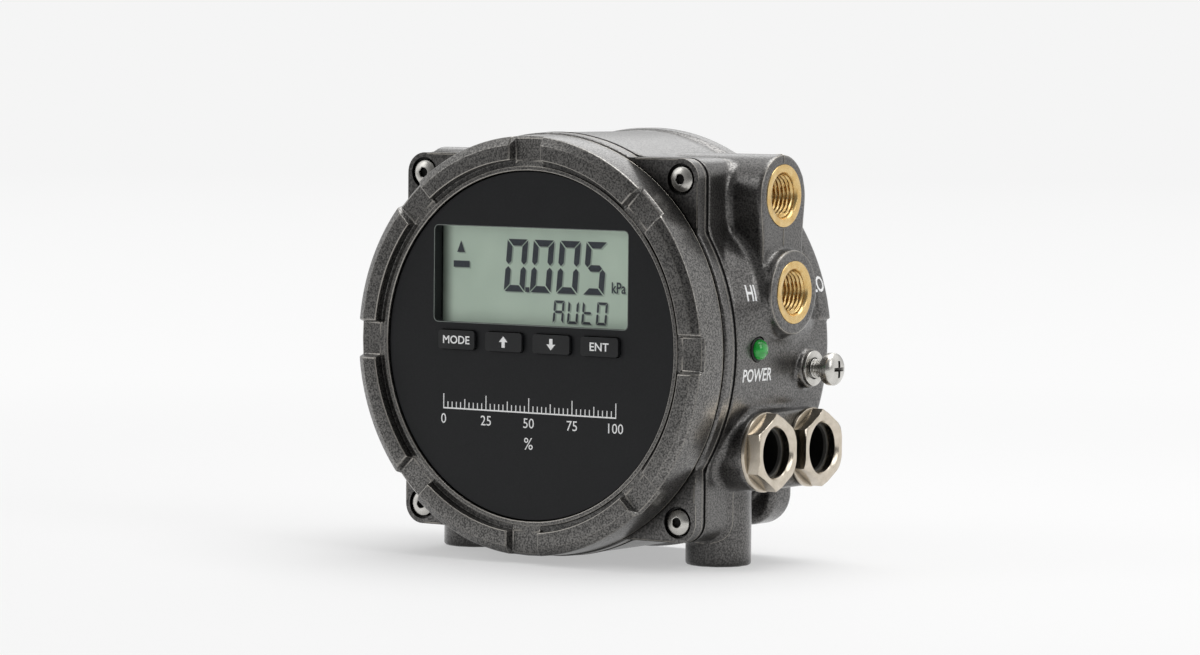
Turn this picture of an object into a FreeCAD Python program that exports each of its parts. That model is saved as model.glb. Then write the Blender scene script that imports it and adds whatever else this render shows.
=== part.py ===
import FreeCAD, Part
import Sketcher
import math
import os

# Differential pressure transmitter: a round cast housing with a screw-on
# bezel, a keyed display face, two pressure ports, two cable entries and an
# earth screw. Millimetres, +Z up, the display faces -Y, the ports are on +X.
# The origin is the centre of the rear mounting face, on the bezel's axis.

V = FreeCAD.Vector
doc = FreeCAD.newDocument("PressureTransmitter")
sheet = doc.addObject("Spreadsheet::Sheet", "Sizes")

# Driving sizes. "forward" is measured from the rear face towards the display,
# "up" and "drop" from the bezel's axis, "face" sideways from that axis.
SIZES = [
    ("housing_depth", 53.0, "rear face to the joint with the front casting"),
    ("drum_radius", 64.5, "outside of the round housing"),
    ("drum_wall", 5.5, "wall of the round housing"),
    ("rear_floor", 8.0, "thickness of the closed rear"),
    ("rear_rounding", 3.0, "radius of the rear outer edge"),
    ("bead_height", 1.0, "rear bead above the drum"),
    ("bead_width", 5.0, "rear bead along the axis"),
    ("bead_break_up", 8.0, "bead stops here on the right, above the axis"),
    ("screw_span_x", 95.4, "front casting screws, across"),
    ("screw_ring_gap", 1.25, "recess of those screws to the bezel ring"),
    ("ear_radius", 6.2, "ear round each of those screws"),
    ("ear_depth", 15.0, "ear length on the housing"),
    ("mount_span_x", 83.0, "rear mounting holes, across"),
    ("mount_span_up", 92.0, "rear mounting holes, up and down"),
    ("mount_pad_radius", 10.0, "rear pad round each mounting hole"),
    ("mount_pad_depth", 12.0, "rear pad along the axis"),
    ("mount_hole_radius", 2.1, "M5 thread, as its minor bore"),
    ("mount_hole_depth", 9.0, "blind depth"),
    ("foot_x", 45.6, "foot from the axis"),
    ("foot_forward", 33.0, "foot centre from the rear face"),
    ("foot_radius", 10.0, "foot"),
    ("foot_proud", 1.5, "sole below the drum"),
    ("port_forward", 30.2, "both ports from the rear face"),
    ("upper_port_up", 46.3, "upper port above the axis"),
    ("lower_port_up", 17.4, "lower port above the axis"),
    ("upper_port_proud", 1.5, "upper boss end outside the drum"),
    ("lower_port_proud", 5.6, "lower boss end outside the drum"),
    ("upper_boss_radius", 12.4, "upper boss and the block below it"),
    ("lower_boss_radius", 12.8, "lower boss"),
    ("left_boss_setback", 2.5, "blind boss on the left, inside the drum's edge"),
    ("insert_radius", 9.5, "brass port insert"),
    ("insert_length", 12.5, "brass port insert, buried"),
    ("insert_proud", 0.3, "insert rim above its boss"),
    ("port_bore_radius", 6.6, "1/4 inch pipe thread, as a plain bore"),
    ("port_bore_depth", 10.0, "thread depth"),
    ("nipple_radius", 2.2, "hose nipples"),
    ("nipple_bore", 1.2, "bore of the hose nipples"),
    ("lower_nipple_reach", 11.0, "lower nipple behind its insert"),
    ("nipple_bend_gap", 2.5, "upper nipple's end to the tube's bend"),
    ("tube_wall", 1.1, "soft tube"),
    ("tube_bend", 9.0, "bend of the upper tube"),
    ("tube_end_gap", 0.5, "tube ends to what they push up to"),
    ("gland_setback", 1.4, "middle of the cable entries behind the housing's middle"),
    ("gland_spacing", 25.8, "between the two cable entries"),
    ("gland_drop", 30.5, "cable entries below the axis"),
    ("gland_boss_radius", 11.8, "cable entry boss"),
    ("gland_thread_radius", 9.8, "bushing thread"),
    ("gland_thread_length", 13.0, "bushing thread"),
    ("gland_collar_radius", 12.1, "round collar under the hex"),
    ("gland_collar_thickness", 1.2, "round collar"),
    ("gland_hex_corner", 11.8, "hex, centre to corner"),
    ("gland_hex_height", 4.4, "hex"),
    ("gland_bore_radius", 7.6, "female thread, as a plain bore"),
    ("gland_seal_depth", 6.0, "seal below the boss face"),
    ("gland_seal_length", 5.0, "rubber seal"),
    ("gland_seal_radius", 6.7, "rubber seal's seat"),
    ("gland_seal_bore", 5.0, "rubber seal"),
    ("led_setback", 11.5, "lamp behind the joint"),
    ("led_up", 0.5, "lamp above the axis"),
    ("led_radius", 3.1, "lamp lens"),
    ("led_height", 2.6, "lens above its holder"),
    ("led_stem_radius", 2.2, "lamp stem in the holder"),
    ("led_holder_radius", 3.1, "holder in the wall"),
    ("led_rim_radius", 3.75, "holder rim"),
    ("led_rim_thickness", 0.8, "holder rim"),
    ("led_seat_depth", 0.3, "spot face for the holder, inside the drum's edge"),
    ("led_reach", 7.0, "holder behind the spot face"),
    ("ground_forward", 13.3, "earth screw from the rear face"),
    ("ground_drop", 6.4, "earth screw below the axis"),
    ("ground_proud", 1.5, "earth boss end outside the drum"),
    ("ground_boss_radius", 6.1, "earth boss"),
    ("ground_hole_depth", 12.0, "earth screw hole"),
    ("ground_hole_floor", 1.5, "metal behind that hole"),
    ("ground_screw_radius", 2.95, "M6 thread"),
    ("ground_screw_engaged", 6.0, "screw inside the boss"),
    ("ground_screw_exposed", 6.2, "screw between boss and head"),
    ("ground_head_radius", 5.0, "pan head"),
    ("ground_head_height", 3.6, "pan head"),
    ("ground_washer_radius", 5.4, "flat washer"),
    ("ground_washer_thickness", 1.0, "flat washer"),
    ("ground_lock_radius", 4.6, "captive lock washer"),
    ("ground_lock_thickness", 0.8, "captive lock washer"),
    ("gasket_thickness", 1.0, "joint gasket"),
    ("gasket_inset", 0.6, "joint gasket behind the castings' edge"),
    ("flange_thickness", 4.6, "front casting's flange"),
    ("flange_rounding", 1.0, "front casting's outer edge"),
    ("collar_wall", 5.0, "threaded collar"),
    ("collar_height", 4.9, "collar above the flange"),
    ("counterbore_radius", 4.8, "recess round a screw head"),
    ("counterbore_depth", 1.6, "recess round a screw head"),
    ("screw_radius", 1.95, "M4 screws"),
    ("screw_head_radius", 4.15, "button head"),
    ("screw_head_height", 2.2, "button head"),
    ("screw_socket", 1.75, "hex socket, centre to corner"),
    ("screw_engaged", 9.0, "screw inside the housing"),
    ("screw_tip_gap", 1.0, "screw's tip to the bottom of its hole"),
    ("ring_radius", 63.5, "bezel ring outside"),
    ("ring_skirt", 5.2, "ring's threaded skirt"),
    ("ring_flare", 0.5, "ring skirt widens by this"),
    ("ring_gap", 0.4, "ring skirt to the flange"),
    ("ring_wall", 3.1, "ring's front wall under the groove"),
    ("ring_groove_depth", 3.2, "groove inside the raised lands"),
    ("ring_groove_width", 1.9, "groove inside the raised lands"),
    ("ring_face_width", 10.4, "ring's front face, radially"),
    ("ring_lip_width", 1.4, "lip round the opening"),
    ("ring_lip_setback", 2.4, "lip behind the lands"),
    ("ring_bevel_width", 2.5, "outer bevel, radially"),
    ("ring_bevel_depth", 1.4, "outer bevel, along the axis"),
    ("notch_width", 11.0, "spanner notch"),
    ("notch_depth", 2.8, "spanner notch"),
    ("notch_inner_width", 10.0, "groove stops this far apart at a notch"),
    ("thread_clearance", 0.3, "ring to collar"),
    ("seal_thickness", 0.8, "bezel seal"),
    ("fascia_flange", 1.6, "rim of the fascia under the ring"),
    ("fascia_gap", 0.4, "fascia to the ring, radially"),
    ("fascia_recess", 1.0, "fascia behind the ring's lip"),
    ("window_width", 72.0, "display window"),
    ("window_height", 29.6, "display window"),
    ("window_margin", 1.93, "window's upper corners to the fascia's edge"),
    ("window_corner", 1.5, "display window"),
    ("lens_overlap", 0.9, "lens behind the window's edge"),
    ("lens_thickness", 1.2, "lens"),
    ("lens_depth", 1.5, "lens rebate in the fascia's rear"),
    ("panel_thickness", 2.2, "display glass"),
    ("panel_margin", 0.6, "display glass inside its frame"),
    ("frame_wall", 1.6, "display frame"),
    ("post_length", 4.2, "fascia posts, to the display board"),
    ("post_radius", 3.2, "fascia posts"),
    ("post_gap", 2.0, "top post above the display frame"),
    ("lower_post_x", 30.0, "lower fascia posts"),
    ("post_margin", 4.6, "lower posts inside the display board's edge"),
    ("key_pitch", 17.7, "keys, centre to centre"),
    ("key_width", 13.6, "key cap"),
    ("key_height", 5.8, "key cap"),
    ("key_window_gap", 2.4, "keys below the window"),
    ("key_proud", 1.2, "key above the fascia"),
    ("key_corner", 1.0, "key cap"),
    ("key_gap", 0.2, "key in its opening"),
    ("key_ear", 1.2, "key ears, each side"),
    ("key_ear_thickness", 1.2, "key ears"),
    ("key_pocket", 2.0, "ear pocket in the fascia's rear"),
    ("key_travel_gap", 1.1, "key to its switch"),
    ("switch_body", 6.0, "key switch, square"),
    ("switch_height", 3.2, "key switch"),
    ("switch_plunger", 1.7, "key switch plunger radius"),
    ("board_thickness", 1.6, "circuit boards"),
    ("board_gap", 1.5, "display board inside the collar"),
    ("board_screw_radius", 1.25, "board screws"),
    ("board_head_radius", 2.6, "board screws"),
    ("board_head_height", 1.8, "board screws"),
    ("board_screw_grip", 3.4, "board screws in their posts"),
    ("board_tip_gap", 0.4, "board screw's tip to the bottom of its hole"),
    ("fit_gap", 0.05, "fixed round fits"),
    ("hole_gap", 0.25, "screw holes"),
    ("main_board_gap", 4.5, "main board inside the housing"),
    ("stud_margin", 5.0, "main board posts inside the board's edge"),
    ("stud_radius", 4.0, "main board posts"),
    ("stud_height", 12.0, "main board posts on the floor"),
    ("spacer_radius", 3.2, "hex spacers, centre to corner"),
    ("board_space", 13.6, "between the two boards"),
    ("link_width", 6.0, "header between the boards"),
    ("link_length", 22.0, "header between the boards"),
    ("link_margin", 16.5, "header inside the main board's edge"),
    ("terminal_width", 10.0, "terminal block"),
    ("terminal_pitch", 5.0, "terminal block, per way"),
    ("terminal_height", 9.5, "terminal block"),
    ("terminal_margin", 20.5, "terminal block inside the main board's edge"),
    ("terminal_drop", 11.0, "terminal block below the axis"),
    ("terminal_screw_radius", 1.6, "terminal screws"),
    ("terminal_well", 2.0, "terminal screws below the block's top"),
    ("capacitor_radius", 4.0, "capacitors"),
    ("capacitor_height", 10.5, "capacitors"),
    ("sensor_radius", 27.0, "pressure capsule"),
    ("sensor_up", 8.0, "pressure capsule above the axis"),
    ("sensor_base_height", 10.0, "rear half of the capsule"),
    ("sensor_cover_height", 15.0, "front half of the capsule"),
    ("sensor_chamber", 19.0, "pressure chambers, radius"),
    ("sensor_chamber_depth", 4.0, "pressure chambers"),
    ("diaphragm_thickness", 1.0, "diaphragm"),
    ("sensor_screw_circle", 23.0, "capsule screws"),
    ("sensor_screw_radius", 1.25, "capsule screws"),
    ("sensor_head_radius", 2.3, "capsule screws"),
    ("sensor_head_height", 1.6, "capsule screws"),
    ("sensor_nipple_x", 12.0, "upper tube's nipple on the capsule"),
    ("sensor_nipple_reach", 6.5, "side nipple outside the capsule"),
]
for row, (alias, value, note) in enumerate(SIZES, 1):
    sheet.set("A%d" % row, alias)
    sheet.set("B%d" % row, str(value))
    sheet.set("C%d" % row, note)
    sheet.setAlias("B%d" % row, alias)
doc.recompute()


class Size:
    """A length from the sheet, or worked out from such lengths."""

    def __init__(self, text, value):
        self.text = text
        self.value = value

    def __add__(self, other):
        other = as_size(other)
        return Size("(%s + %s)" % (self.text, other.text), self.value + other.value)

    def __sub__(self, other):
        other = as_size(other)
        return Size("(%s - %s)" % (self.text, other.text), self.value - other.value)

    def __mul__(self, other):
        other = as_size(other)
        return Size("(%s * %s)" % (self.text, other.text), self.value * other.value)

    def __truediv__(self, other):
        other = as_size(other)
        return Size("(%s / %s)" % (self.text, other.text), self.value / other.value)

    def __neg__(self):
        return Size("(0 - %s)" % self.text, -self.value)


def as_size(number):
    if isinstance(number, Size):
        return number
    return Size("(%r)" % float(number), float(number))


def root(size):
    return Size("sqrt(%s)" % size.text, math.sqrt(size.value))


class Named:
    """The sheet's sizes by name."""

    def __getattr__(self, alias):
        return Size("Sizes.%s" % alias, float(sheet.get(alias)))


z = Named()
ZERO = Size("0", 0.0)

# Bodies are drawn as seen from the front: x right, y up, z towards the
# viewer from the rear face. STAND turns that drawing upright.
STAND = FreeCAD.Rotation(V(1, 0, 0), 90)
# Turned pieces on the right side are drawn about z, which becomes +X.
SIDE = FreeCAD.Rotation(V(0, 0, 1), V(0, -1, 0), V(1, 0, 0))

nodes = []


def new_body(label):
    body = doc.addObject("PartDesign::Body", label)
    body.Label = label
    body.Placement = FreeCAD.Placement(V(0, 0, 0), STAND)
    nodes.append(body)
    return body


def side_body(label, face, up, forward):
    """A body turned about a sideways axis, whose z = 0 lies at face."""
    body = new_body(label)
    back = -forward
    body.Placement = FreeCAD.Placement(V(face.value, back.value, up.value), SIDE)
    body.setExpression("Placement.Base.x", face.text)
    body.setExpression("Placement.Base.y", back.text)
    body.setExpression("Placement.Base.z", up.text)
    return body


def origin_part(body, role):
    for feature in body.Origin.OriginFeatures:
        if feature.Role == role:
            return feature


def new_sketch(body, name, plane, offset):
    sketch = body.newObject("Sketcher::SketchObject", name)
    sketch.AttachmentSupport = (origin_part(body, plane + "_Plane"), [""])
    sketch.MapMode = "FlatFace"
    sketch.AttachmentOffset = FreeCAD.Placement(V(0, 0, offset.value), FreeCAD.Rotation())
    sketch.setExpression("AttachmentOffset.Base.z", offset.text)
    return sketch


def bind(sketch, constraint, size):
    index = sketch.addConstraint(constraint)
    sketch.setExpression("Constraints[%d]" % index, size.text)


def pin(sketch, geo, pos, x, y):
    """Fix a point of the sketch at x, y."""
    if x is ZERO:
        sketch.addConstraint(Sketcher.Constraint("PointOnObject", geo, pos, -2))
    else:
        bind(sketch, Sketcher.Constraint("DistanceX", -1, 1, geo, pos, x.value), x)
    if y is ZERO:
        sketch.addConstraint(Sketcher.Constraint("PointOnObject", geo, pos, -1))
    else:
        bind(sketch, Sketcher.Constraint("DistanceY", -1, 1, geo, pos, y.value), y)


def draw_circles(sketch, circles):
    for x, y, radius in circles:
        geo = sketch.addGeometry(Part.Circle(V(x.value, y.value, 0), V(0, 0, 1), radius.value))
        pin(sketch, geo, 3, x, y)
        bind(sketch, Sketcher.Constraint("Radius", geo, radius.value), radius)


def arc_between(start, end, radius, bulge):
    """An arc from start to end that bows to the right (+1) or left (-1)."""
    chord = end - start
    half = chord.Length / 2
    normal = V(chord.y, -chord.x, 0).normalize() * bulge
    depth = math.sqrt(max(radius * radius - half * half, 0.0))
    centre = (start + end) * 0.5 - normal * depth
    return Part.Arc(start, centre + normal * radius, end)


def draw_loop(sketch, corners, closed=True):
    """A run of lines and arcs. A corner is (x, y), or (x, y, radius, bulge)
    where an arc runs on to the next corner, a half circle if radius is None."""
    spots = [V(c[0].value, c[1].value, 0) for c in corners]
    count = len(corners) if closed else len(corners) - 1
    ends = []
    for i in range(count):
        start = spots[i]
        end = spots[(i + 1) % len(spots)]
        if len(corners[i]) == 2:
            geo = sketch.addGeometry(Part.LineSegment(start, end))
            first, last = 1, 2
        else:
            radius, bulge = corners[i][2:]
            bend = radius.value if radius else (end - start).Length / 2
            geo = sketch.addGeometry(arc_between(start, end, bend, bulge))
            near = sketch.getPoint(geo, 1).distanceToPoint(start)
            first, last = (1, 2) if near < 1e-4 else (2, 1)
            if radius:
                bind(sketch, Sketcher.Constraint("Radius", geo, bend), radius)
            else:
                level = "Vertical" if abs(start.x - end.x) < 1e-6 else "Horizontal"
                sketch.addConstraint(Sketcher.Constraint(level, geo, 3, geo, first))
        ends.append((geo, first, last))
    for i, (geo, first, last) in enumerate(ends):
        pin(sketch, geo, first, corners[i][0], corners[i][1])
        if closed or i + 1 < len(ends):
            following = ends[(i + 1) % len(ends)]
            joint = Sketcher.Constraint("Coincident", geo, last, following[0], following[1])
            sketch.addConstraint(joint)
    if not closed:
        geo, first, last = ends[-1]
        pin(sketch, geo, last, corners[-1][0], corners[-1][1])


def extrude(body, name, kind, sketch, start, end):
    feature = body.newObject("PartDesign::" + kind, name)
    feature.Profile = sketch
    forward = end.value > start.value
    length = end - start if forward else start - end
    feature.setExpression("Length", length.text)
    # A pad grows along its sketch's normal and a pocket cuts against it.
    feature.Reversed = forward if kind == "Pocket" else not forward
    return feature


def circles(body, name, kind, plane, start, end, rounds):
    sketch = new_sketch(body, name + "Sketch", plane, start)
    draw_circles(sketch, rounds)
    return extrude(body, name, kind, sketch, start, end)


def outline(body, name, kind, plane, start, end, loops):
    sketch = new_sketch(body, name + "Sketch", plane, start)
    for corners in loops:
        draw_loop(sketch, corners)
    return extrude(body, name, kind, sketch, start, end)


def turned(body, name, corners, kind="Revolution", angle=360.0):
    """Revolve a profile of (radius, z) corners about the body's z axis."""
    sketch = new_sketch(body, name + "Sketch", "XZ", ZERO)
    draw_loop(sketch, corners)
    feature = body.newObject("PartDesign::" + kind, name)
    feature.Profile = sketch
    feature.ReferenceAxis = (sketch, ["V_Axis"])
    feature.Angle = angle
    return feature


def round_about(body, name, feature, count):
    pattern = body.newObject("PartDesign::PolarPattern", name)
    pattern.Originals = [feature]
    pattern.Axis = (origin_part(body, "Z_Axis"), [""])
    pattern.Angle = 360.0
    pattern.Occurrences = count
    body.Tip = pattern
    return pattern


def rectangle(x, y, width, height):
    left, right = x - width / 2, x + width / 2
    low, high = y - height / 2, y + height / 2
    return [(left, low), (right, low), (right, high), (left, high)]


def rounded(x, y, width, height, corner):
    left, right = x - width / 2, x + width / 2
    low, high = y - height / 2, y + height / 2
    return [
        (left + corner, low),
        (right - corner, low, corner, 1),
        (right, low + corner),
        (right, high - corner, corner, 1),
        (right - corner, high),
        (left + corner, high, corner, 1),
        (left, high - corner),
        (left, low + corner, corner, 1),
    ]


def hexagon(x, y, corner):
    """Corners up and down the sketch's x direction."""
    spots = []
    for step in range(6):
        turn = math.radians(60 * step)
        spots.append((x + corner * math.cos(turn), y + corner * math.sin(turn)))
    return spots


def four(x, y, radius):
    """One circle in each quarter."""
    return [(x * sx, y * sy, radius) for sx in (-1, 1) for sy in (-1, 1)]


# Places that several pieces share
cavity = z.drum_radius - z.drum_wall
gasket_front = z.housing_depth + z.gasket_thickness
flange_front = gasket_front + z.flange_thickness
collar_front = flange_front + z.collar_height
ring_bore = z.ring_radius - z.ring_skirt
ring_opening = z.ring_radius - z.ring_face_width
collar_outer = ring_bore - z.thread_clearance
collar_inner = collar_outer - z.collar_wall
screw_x = z.screw_span_x / 2
screw_reach = z.ring_radius + z.ring_flare + z.screw_ring_gap + z.counterbore_radius
screw_up = root(screw_reach * screw_reach - screw_x * screw_x)
screw_seat = flange_front - z.counterbore_depth
ring_under = collar_front + z.fascia_flange + z.seal_thickness
groove_floor = ring_under + z.ring_wall
ring_front = groove_floor + z.ring_groove_depth
lip_front = ring_front - z.ring_lip_setback
lip_outer = ring_opening + z.ring_lip_width
fascia_front = lip_front - z.fascia_recess
fascia_rim = collar_outer - z.fascia_gap
face_radius = ring_opening - z.fascia_gap
corner_reach = face_radius - z.window_margin
window_top = root(corner_reach * corner_reach - z.window_width * z.window_width / 4)
window_up = window_top - z.window_height / 2
key_up = window_up - z.window_height / 2 - z.key_window_gap - z.key_height / 2
lens_front = collar_front + z.lens_depth
display_front = collar_front - z.post_length
display_rear = display_front - z.board_thickness
display_radius = collar_inner - z.board_gap
stud_top = z.rear_floor + z.stud_height
main_front = display_rear - z.board_space
main_rear = main_front - z.board_thickness
main_radius = cavity - z.main_board_gap
stud_at = (main_radius - z.stud_margin) * math.sqrt(0.5)
link_x = main_radius - z.link_margin
terminal_x = main_radius - z.terminal_margin
tube_radius = z.nipple_radius + z.fit_gap + z.tube_wall
mount_x = z.mount_span_x / 2
mount_up = z.mount_span_up / 2
foot_sole = z.drum_radius + z.foot_proud
upper_port_face = z.drum_radius + z.upper_port_proud
lower_port_face = z.drum_radius + z.lower_port_proud
left_boss_face = z.drum_radius - z.left_boss_setback
gland_face = z.drum_radius
led_seat = z.drum_radius - z.led_seat_depth
led_forward = z.housing_depth - z.led_setback
ground_face = z.drum_radius + z.ground_proud
gland_middle = z.housing_depth / 2 - z.gland_setback
rear_gland = gland_middle - z.gland_spacing / 2
front_gland = gland_middle + z.gland_spacing / 2
upper_insert_end = upper_port_face - z.insert_length
lower_insert_end = lower_port_face - z.insert_length


def eared(body, name, start, end, inset):
    """The castings' outline: a disc with an ear at each of the four screws."""
    disc = z.drum_radius - inset
    ear = z.ear_radius - inset
    width = z.screw_span_x + ear * 2
    height = (screw_up + ear) * 2
    circles(body, name + "Disc", "Pad", "XY", start, end, [(ZERO, ZERO, disc)])
    ears = rounded(ZERO, ZERO, width, height, ear)
    outline(body, name + "Ears", "Pad", "XY", start, end, [ears])


# Housing: a deep cast drum, closed at the rear
housing = new_body("housing")
bead = z.drum_radius + z.bead_height
bead_end = z.rear_rounding + z.bead_width
turned(housing, "Drum", [
    (ZERO, ZERO),
    (bead - z.rear_rounding, ZERO, z.rear_rounding, 1),
    (bead, z.rear_rounding),
    (bead, bead_end),
    (z.drum_radius, bead_end + z.bead_height),
    (z.drum_radius, z.housing_depth),
    (ZERO, z.housing_depth),
])
# The rear bead stops above the earth screw and the cable entries.
break_end = bead + z.bead_height
bead_break = [
    (root(z.drum_radius * z.drum_radius - z.gland_drop * z.gland_drop), -z.gland_drop),
    (break_end, -z.gland_drop),
    (break_end, z.bead_break_up),
    (root(z.drum_radius * z.drum_radius - z.bead_break_up * z.bead_break_up), z.bead_break_up,
     z.drum_radius, -1),
]
outline(housing, "BeadBreak", "Pocket", "XY", ZERO, bead_end + z.bead_height, [bead_break])
ear_start = z.housing_depth - z.ear_depth
ear_width = z.screw_span_x + z.ear_radius * 2
ear_height = (screw_up + z.ear_radius) * 2
ears = rounded(ZERO, ZERO, ear_width, ear_height, z.ear_radius)
outline(housing, "Ears", "Pad", "XY", ear_start, z.housing_depth, [ears])
pad_width = z.mount_span_x + z.mount_pad_radius * 2
pad_height = z.mount_span_up + z.mount_pad_radius * 2
pads = rounded(ZERO, ZERO, pad_width, pad_height, z.mount_pad_radius)
outline(housing, "MountPads", "Pad", "XY", ZERO, z.mount_pad_depth, [pads])
foot_edge = z.foot_x + z.foot_radius
foot_top = root(z.drum_radius * z.drum_radius - foot_edge * foot_edge) - z.drum_wall / 2
feet = [(z.foot_x * side, z.foot_forward, z.foot_radius) for side in (-1, 1)]
circles(housing, "Feet", "Pad", "XZ", foot_top, foot_sole, feet)
block_side = z.upper_boss_radius
block = [
    (z.lower_port_up, z.port_forward - block_side),
    (z.upper_port_up, z.port_forward - block_side, None, 1),
    (z.upper_port_up, z.port_forward + block_side),
    (z.lower_port_up, z.port_forward + block_side),
]
outline(housing, "PortBlock", "Pad", "YZ", ZERO, upper_port_face, [block])
lower_boss = [(z.lower_port_up, z.port_forward, z.lower_boss_radius)]
circles(housing, "LowerBoss", "Pad", "YZ", ZERO, lower_port_face, lower_boss)
left_boss = [(z.upper_port_up, z.port_forward, z.upper_boss_radius)]
circles(housing, "LeftBoss", "Pad", "YZ", ZERO, -left_boss_face, left_boss)
gland_side = z.gland_boss_radius
gland_slot = [
    (gland_side - z.gland_drop, rear_gland),
    (gland_side - z.gland_drop, front_gland, None, 1),
    (-z.gland_drop - gland_side, front_gland),
    (-z.gland_drop - gland_side, rear_gland, None, 1),
]
outline(housing, "GlandBoss", "Pad", "YZ", ZERO, gland_face, [gland_slot])
ground_boss = [(-z.ground_drop, z.ground_forward, z.ground_boss_radius)]
circles(housing, "GroundBoss", "Pad", "YZ", z.drum_radius / 2, ground_face, ground_boss)
circles(housing, "Cavity", "Pocket", "XY", z.housing_depth, z.rear_floor, [(ZERO, ZERO, cavity)])
studs = four(stud_at, stud_at, z.stud_radius)
circles(housing, "Studs", "Pad", "XY", z.rear_floor, stud_top, studs)
ground_end = ground_face - z.ground_hole_depth
ground_back = ground_end - z.ground_hole_floor
circles(housing, "GroundBacking", "Pad", "YZ", ground_back, cavity, ground_boss)
stud_holes = four(stud_at, stud_at, z.board_screw_radius + z.fit_gap)
circles(housing, "StudHoles", "Pocket", "XY", stud_top, stud_top - z.stud_height / 2, stud_holes)
screw_holes = four(screw_x, screw_up, z.screw_radius + z.fit_gap)
screw_floor = z.housing_depth - z.screw_engaged - z.screw_tip_gap
circles(housing, "ScrewHoles", "Pocket", "XY", z.housing_depth, screw_floor, screw_holes)
mount_holes = four(mount_x, mount_up, z.mount_hole_radius)
circles(housing, "MountHoles", "Pocket", "XY", ZERO, z.mount_hole_depth, mount_holes)
insert_hole = z.insert_radius + z.fit_gap
passage = tube_radius + z.hole_gap
for word, up, face, end in (
    ("Upper", z.upper_port_up, upper_port_face, upper_insert_end),
    ("Lower", z.lower_port_up, lower_port_face, lower_insert_end),
):
    spot = (up, z.port_forward)
    circles(housing, word + "Seat", "Pocket", "YZ", face, end, [spot + (insert_hole,)])
    circles(housing, word + "Passage", "Pocket", "YZ", end, ZERO, [spot + (passage,)])
gland_hole = z.gland_thread_radius + z.fit_gap
gland_holes = [(-z.gland_drop, spot, gland_hole) for spot in (rear_gland, front_gland)]
gland_low = z.gland_drop + gland_hole
gland_inner = root(cavity * cavity - gland_low * gland_low) - z.hole_gap
circles(housing, "GlandHoles", "Pocket", "YZ", gland_face, gland_inner, gland_holes)
led_spot = (z.led_up, led_forward)
led_hole = z.led_holder_radius + z.fit_gap
rim_spot = z.led_rim_radius + z.hole_gap
circles(housing, "LampSpotFace", "Pocket", "YZ", bead, led_seat, [led_spot + (rim_spot,)])
circles(housing, "LampHole", "Pocket", "YZ", bead, z.drum_radius / 2, [led_spot + (led_hole,)])
ground_hole = [(-z.ground_drop, z.ground_forward, z.ground_screw_radius + z.fit_gap)]
circles(housing, "GroundHole", "Pocket", "YZ", ground_face, ground_end, ground_hole)

# Joint gasket between the two castings
gasket = new_body("joint_gasket")
eared(gasket, "Sheet", z.housing_depth, gasket_front, z.gasket_inset)
gasket_opening = [(ZERO, ZERO, cavity)]
circles(gasket, "Opening", "Pocket", "XY", gasket_front, z.housing_depth, gasket_opening)
gasket_holes = four(screw_x, screw_up, z.screw_radius + z.hole_gap)
circles(gasket, "Holes", "Pocket", "XY", gasket_front, z.housing_depth, gasket_holes)

# Front casting: eared flange with the threaded collar for the bezel ring
flange = new_body("front_flange")
outline(flange, "Ears", "Pad", "XY", gasket_front, flange_front, [ears])
turned(flange, "Disc", [
    (ZERO, gasket_front),
    (z.drum_radius, gasket_front),
    (z.drum_radius, flange_front - z.flange_rounding, z.flange_rounding, 1),
    (z.drum_radius - z.flange_rounding, flange_front),
    (ZERO, flange_front),
])
circles(flange, "Collar", "Pad", "XY", gasket_front, collar_front, [(ZERO, ZERO, collar_outer)])
collar_bore = [(ZERO, ZERO, collar_inner)]
circles(flange, "Bore", "Pocket", "XY", collar_front, gasket_front, collar_bore)
counterbores = four(screw_x, screw_up, z.counterbore_radius)
circles(flange, "Counterbores", "Pocket", "XY", flange_front, screw_seat, counterbores)
flange_holes = four(screw_x, screw_up, z.screw_radius + z.hole_gap)
circles(flange, "Holes", "Pocket", "XY", screw_seat, gasket_front, flange_holes)

# Four button-head screws that hold the front casting
screws = new_body("flange_screws")
screw_end = z.housing_depth - z.screw_engaged
head_edge = screw_seat + z.screw_head_height / 2
head_top = screw_seat + z.screw_head_height
circles(screws, "Shanks", "Pad", "XY", screw_end, screw_seat, four(screw_x, screw_up, z.screw_radius))
heads = four(screw_x, screw_up, z.screw_head_radius)
circles(screws, "Heads", "Pad", "XY", screw_seat, head_edge, heads)
domes = circles(screws, "Domes", "Pad", "XY", head_edge, head_top, heads)
domes.TaperAngle = -40.0
sockets = [hexagon(screw_x * sx, screw_up * sy, z.screw_socket) for sx in (-1, 1) for sy in (-1, 1)]
outline(screws, "Sockets", "Pocket", "XY", head_top, screw_seat + z.screw_head_height / 4, sockets)

# Bezel ring: screws onto the collar. Raised lands between eight spanner
# notches, a groove inside the lands and a lip round the opening.
ring = new_body("bezel_ring")
ring_rear = flange_front + z.ring_gap
land_inner = lip_outer + z.ring_groove_width / 2
turned(ring, "Section", [
    (ring_bore, ring_rear),
    (z.ring_radius + z.ring_flare, ring_rear),
    (z.ring_radius, ring_front - z.ring_bevel_depth),
    (z.ring_radius - z.ring_bevel_width, ring_front),
    (land_inner, ring_front),
    (land_inner, lip_front),
    (ring_opening, lip_front),
    (ring_opening, ring_under),
    (ring_bore, ring_under),
])
notch_floor = ring_front - z.notch_depth
notch_end = z.ring_radius + z.ring_flare * 3
notch = [
    (lip_outer, -z.notch_width / 2),
    (notch_end, -z.notch_width / 2),
    (notch_end, z.notch_width / 2),
    (lip_outer, z.notch_width / 2),
]
first_notch = outline(ring, "Notch", "Pocket", "XY", ring_front, notch_floor, [notch])
round_about(ring, "Notches", first_notch, 8)
groove_outer = lip_outer + z.ring_groove_width
half_gap = z.notch_inner_width / 2
near_x = root(lip_outer * lip_outer - half_gap * half_gap)
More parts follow.
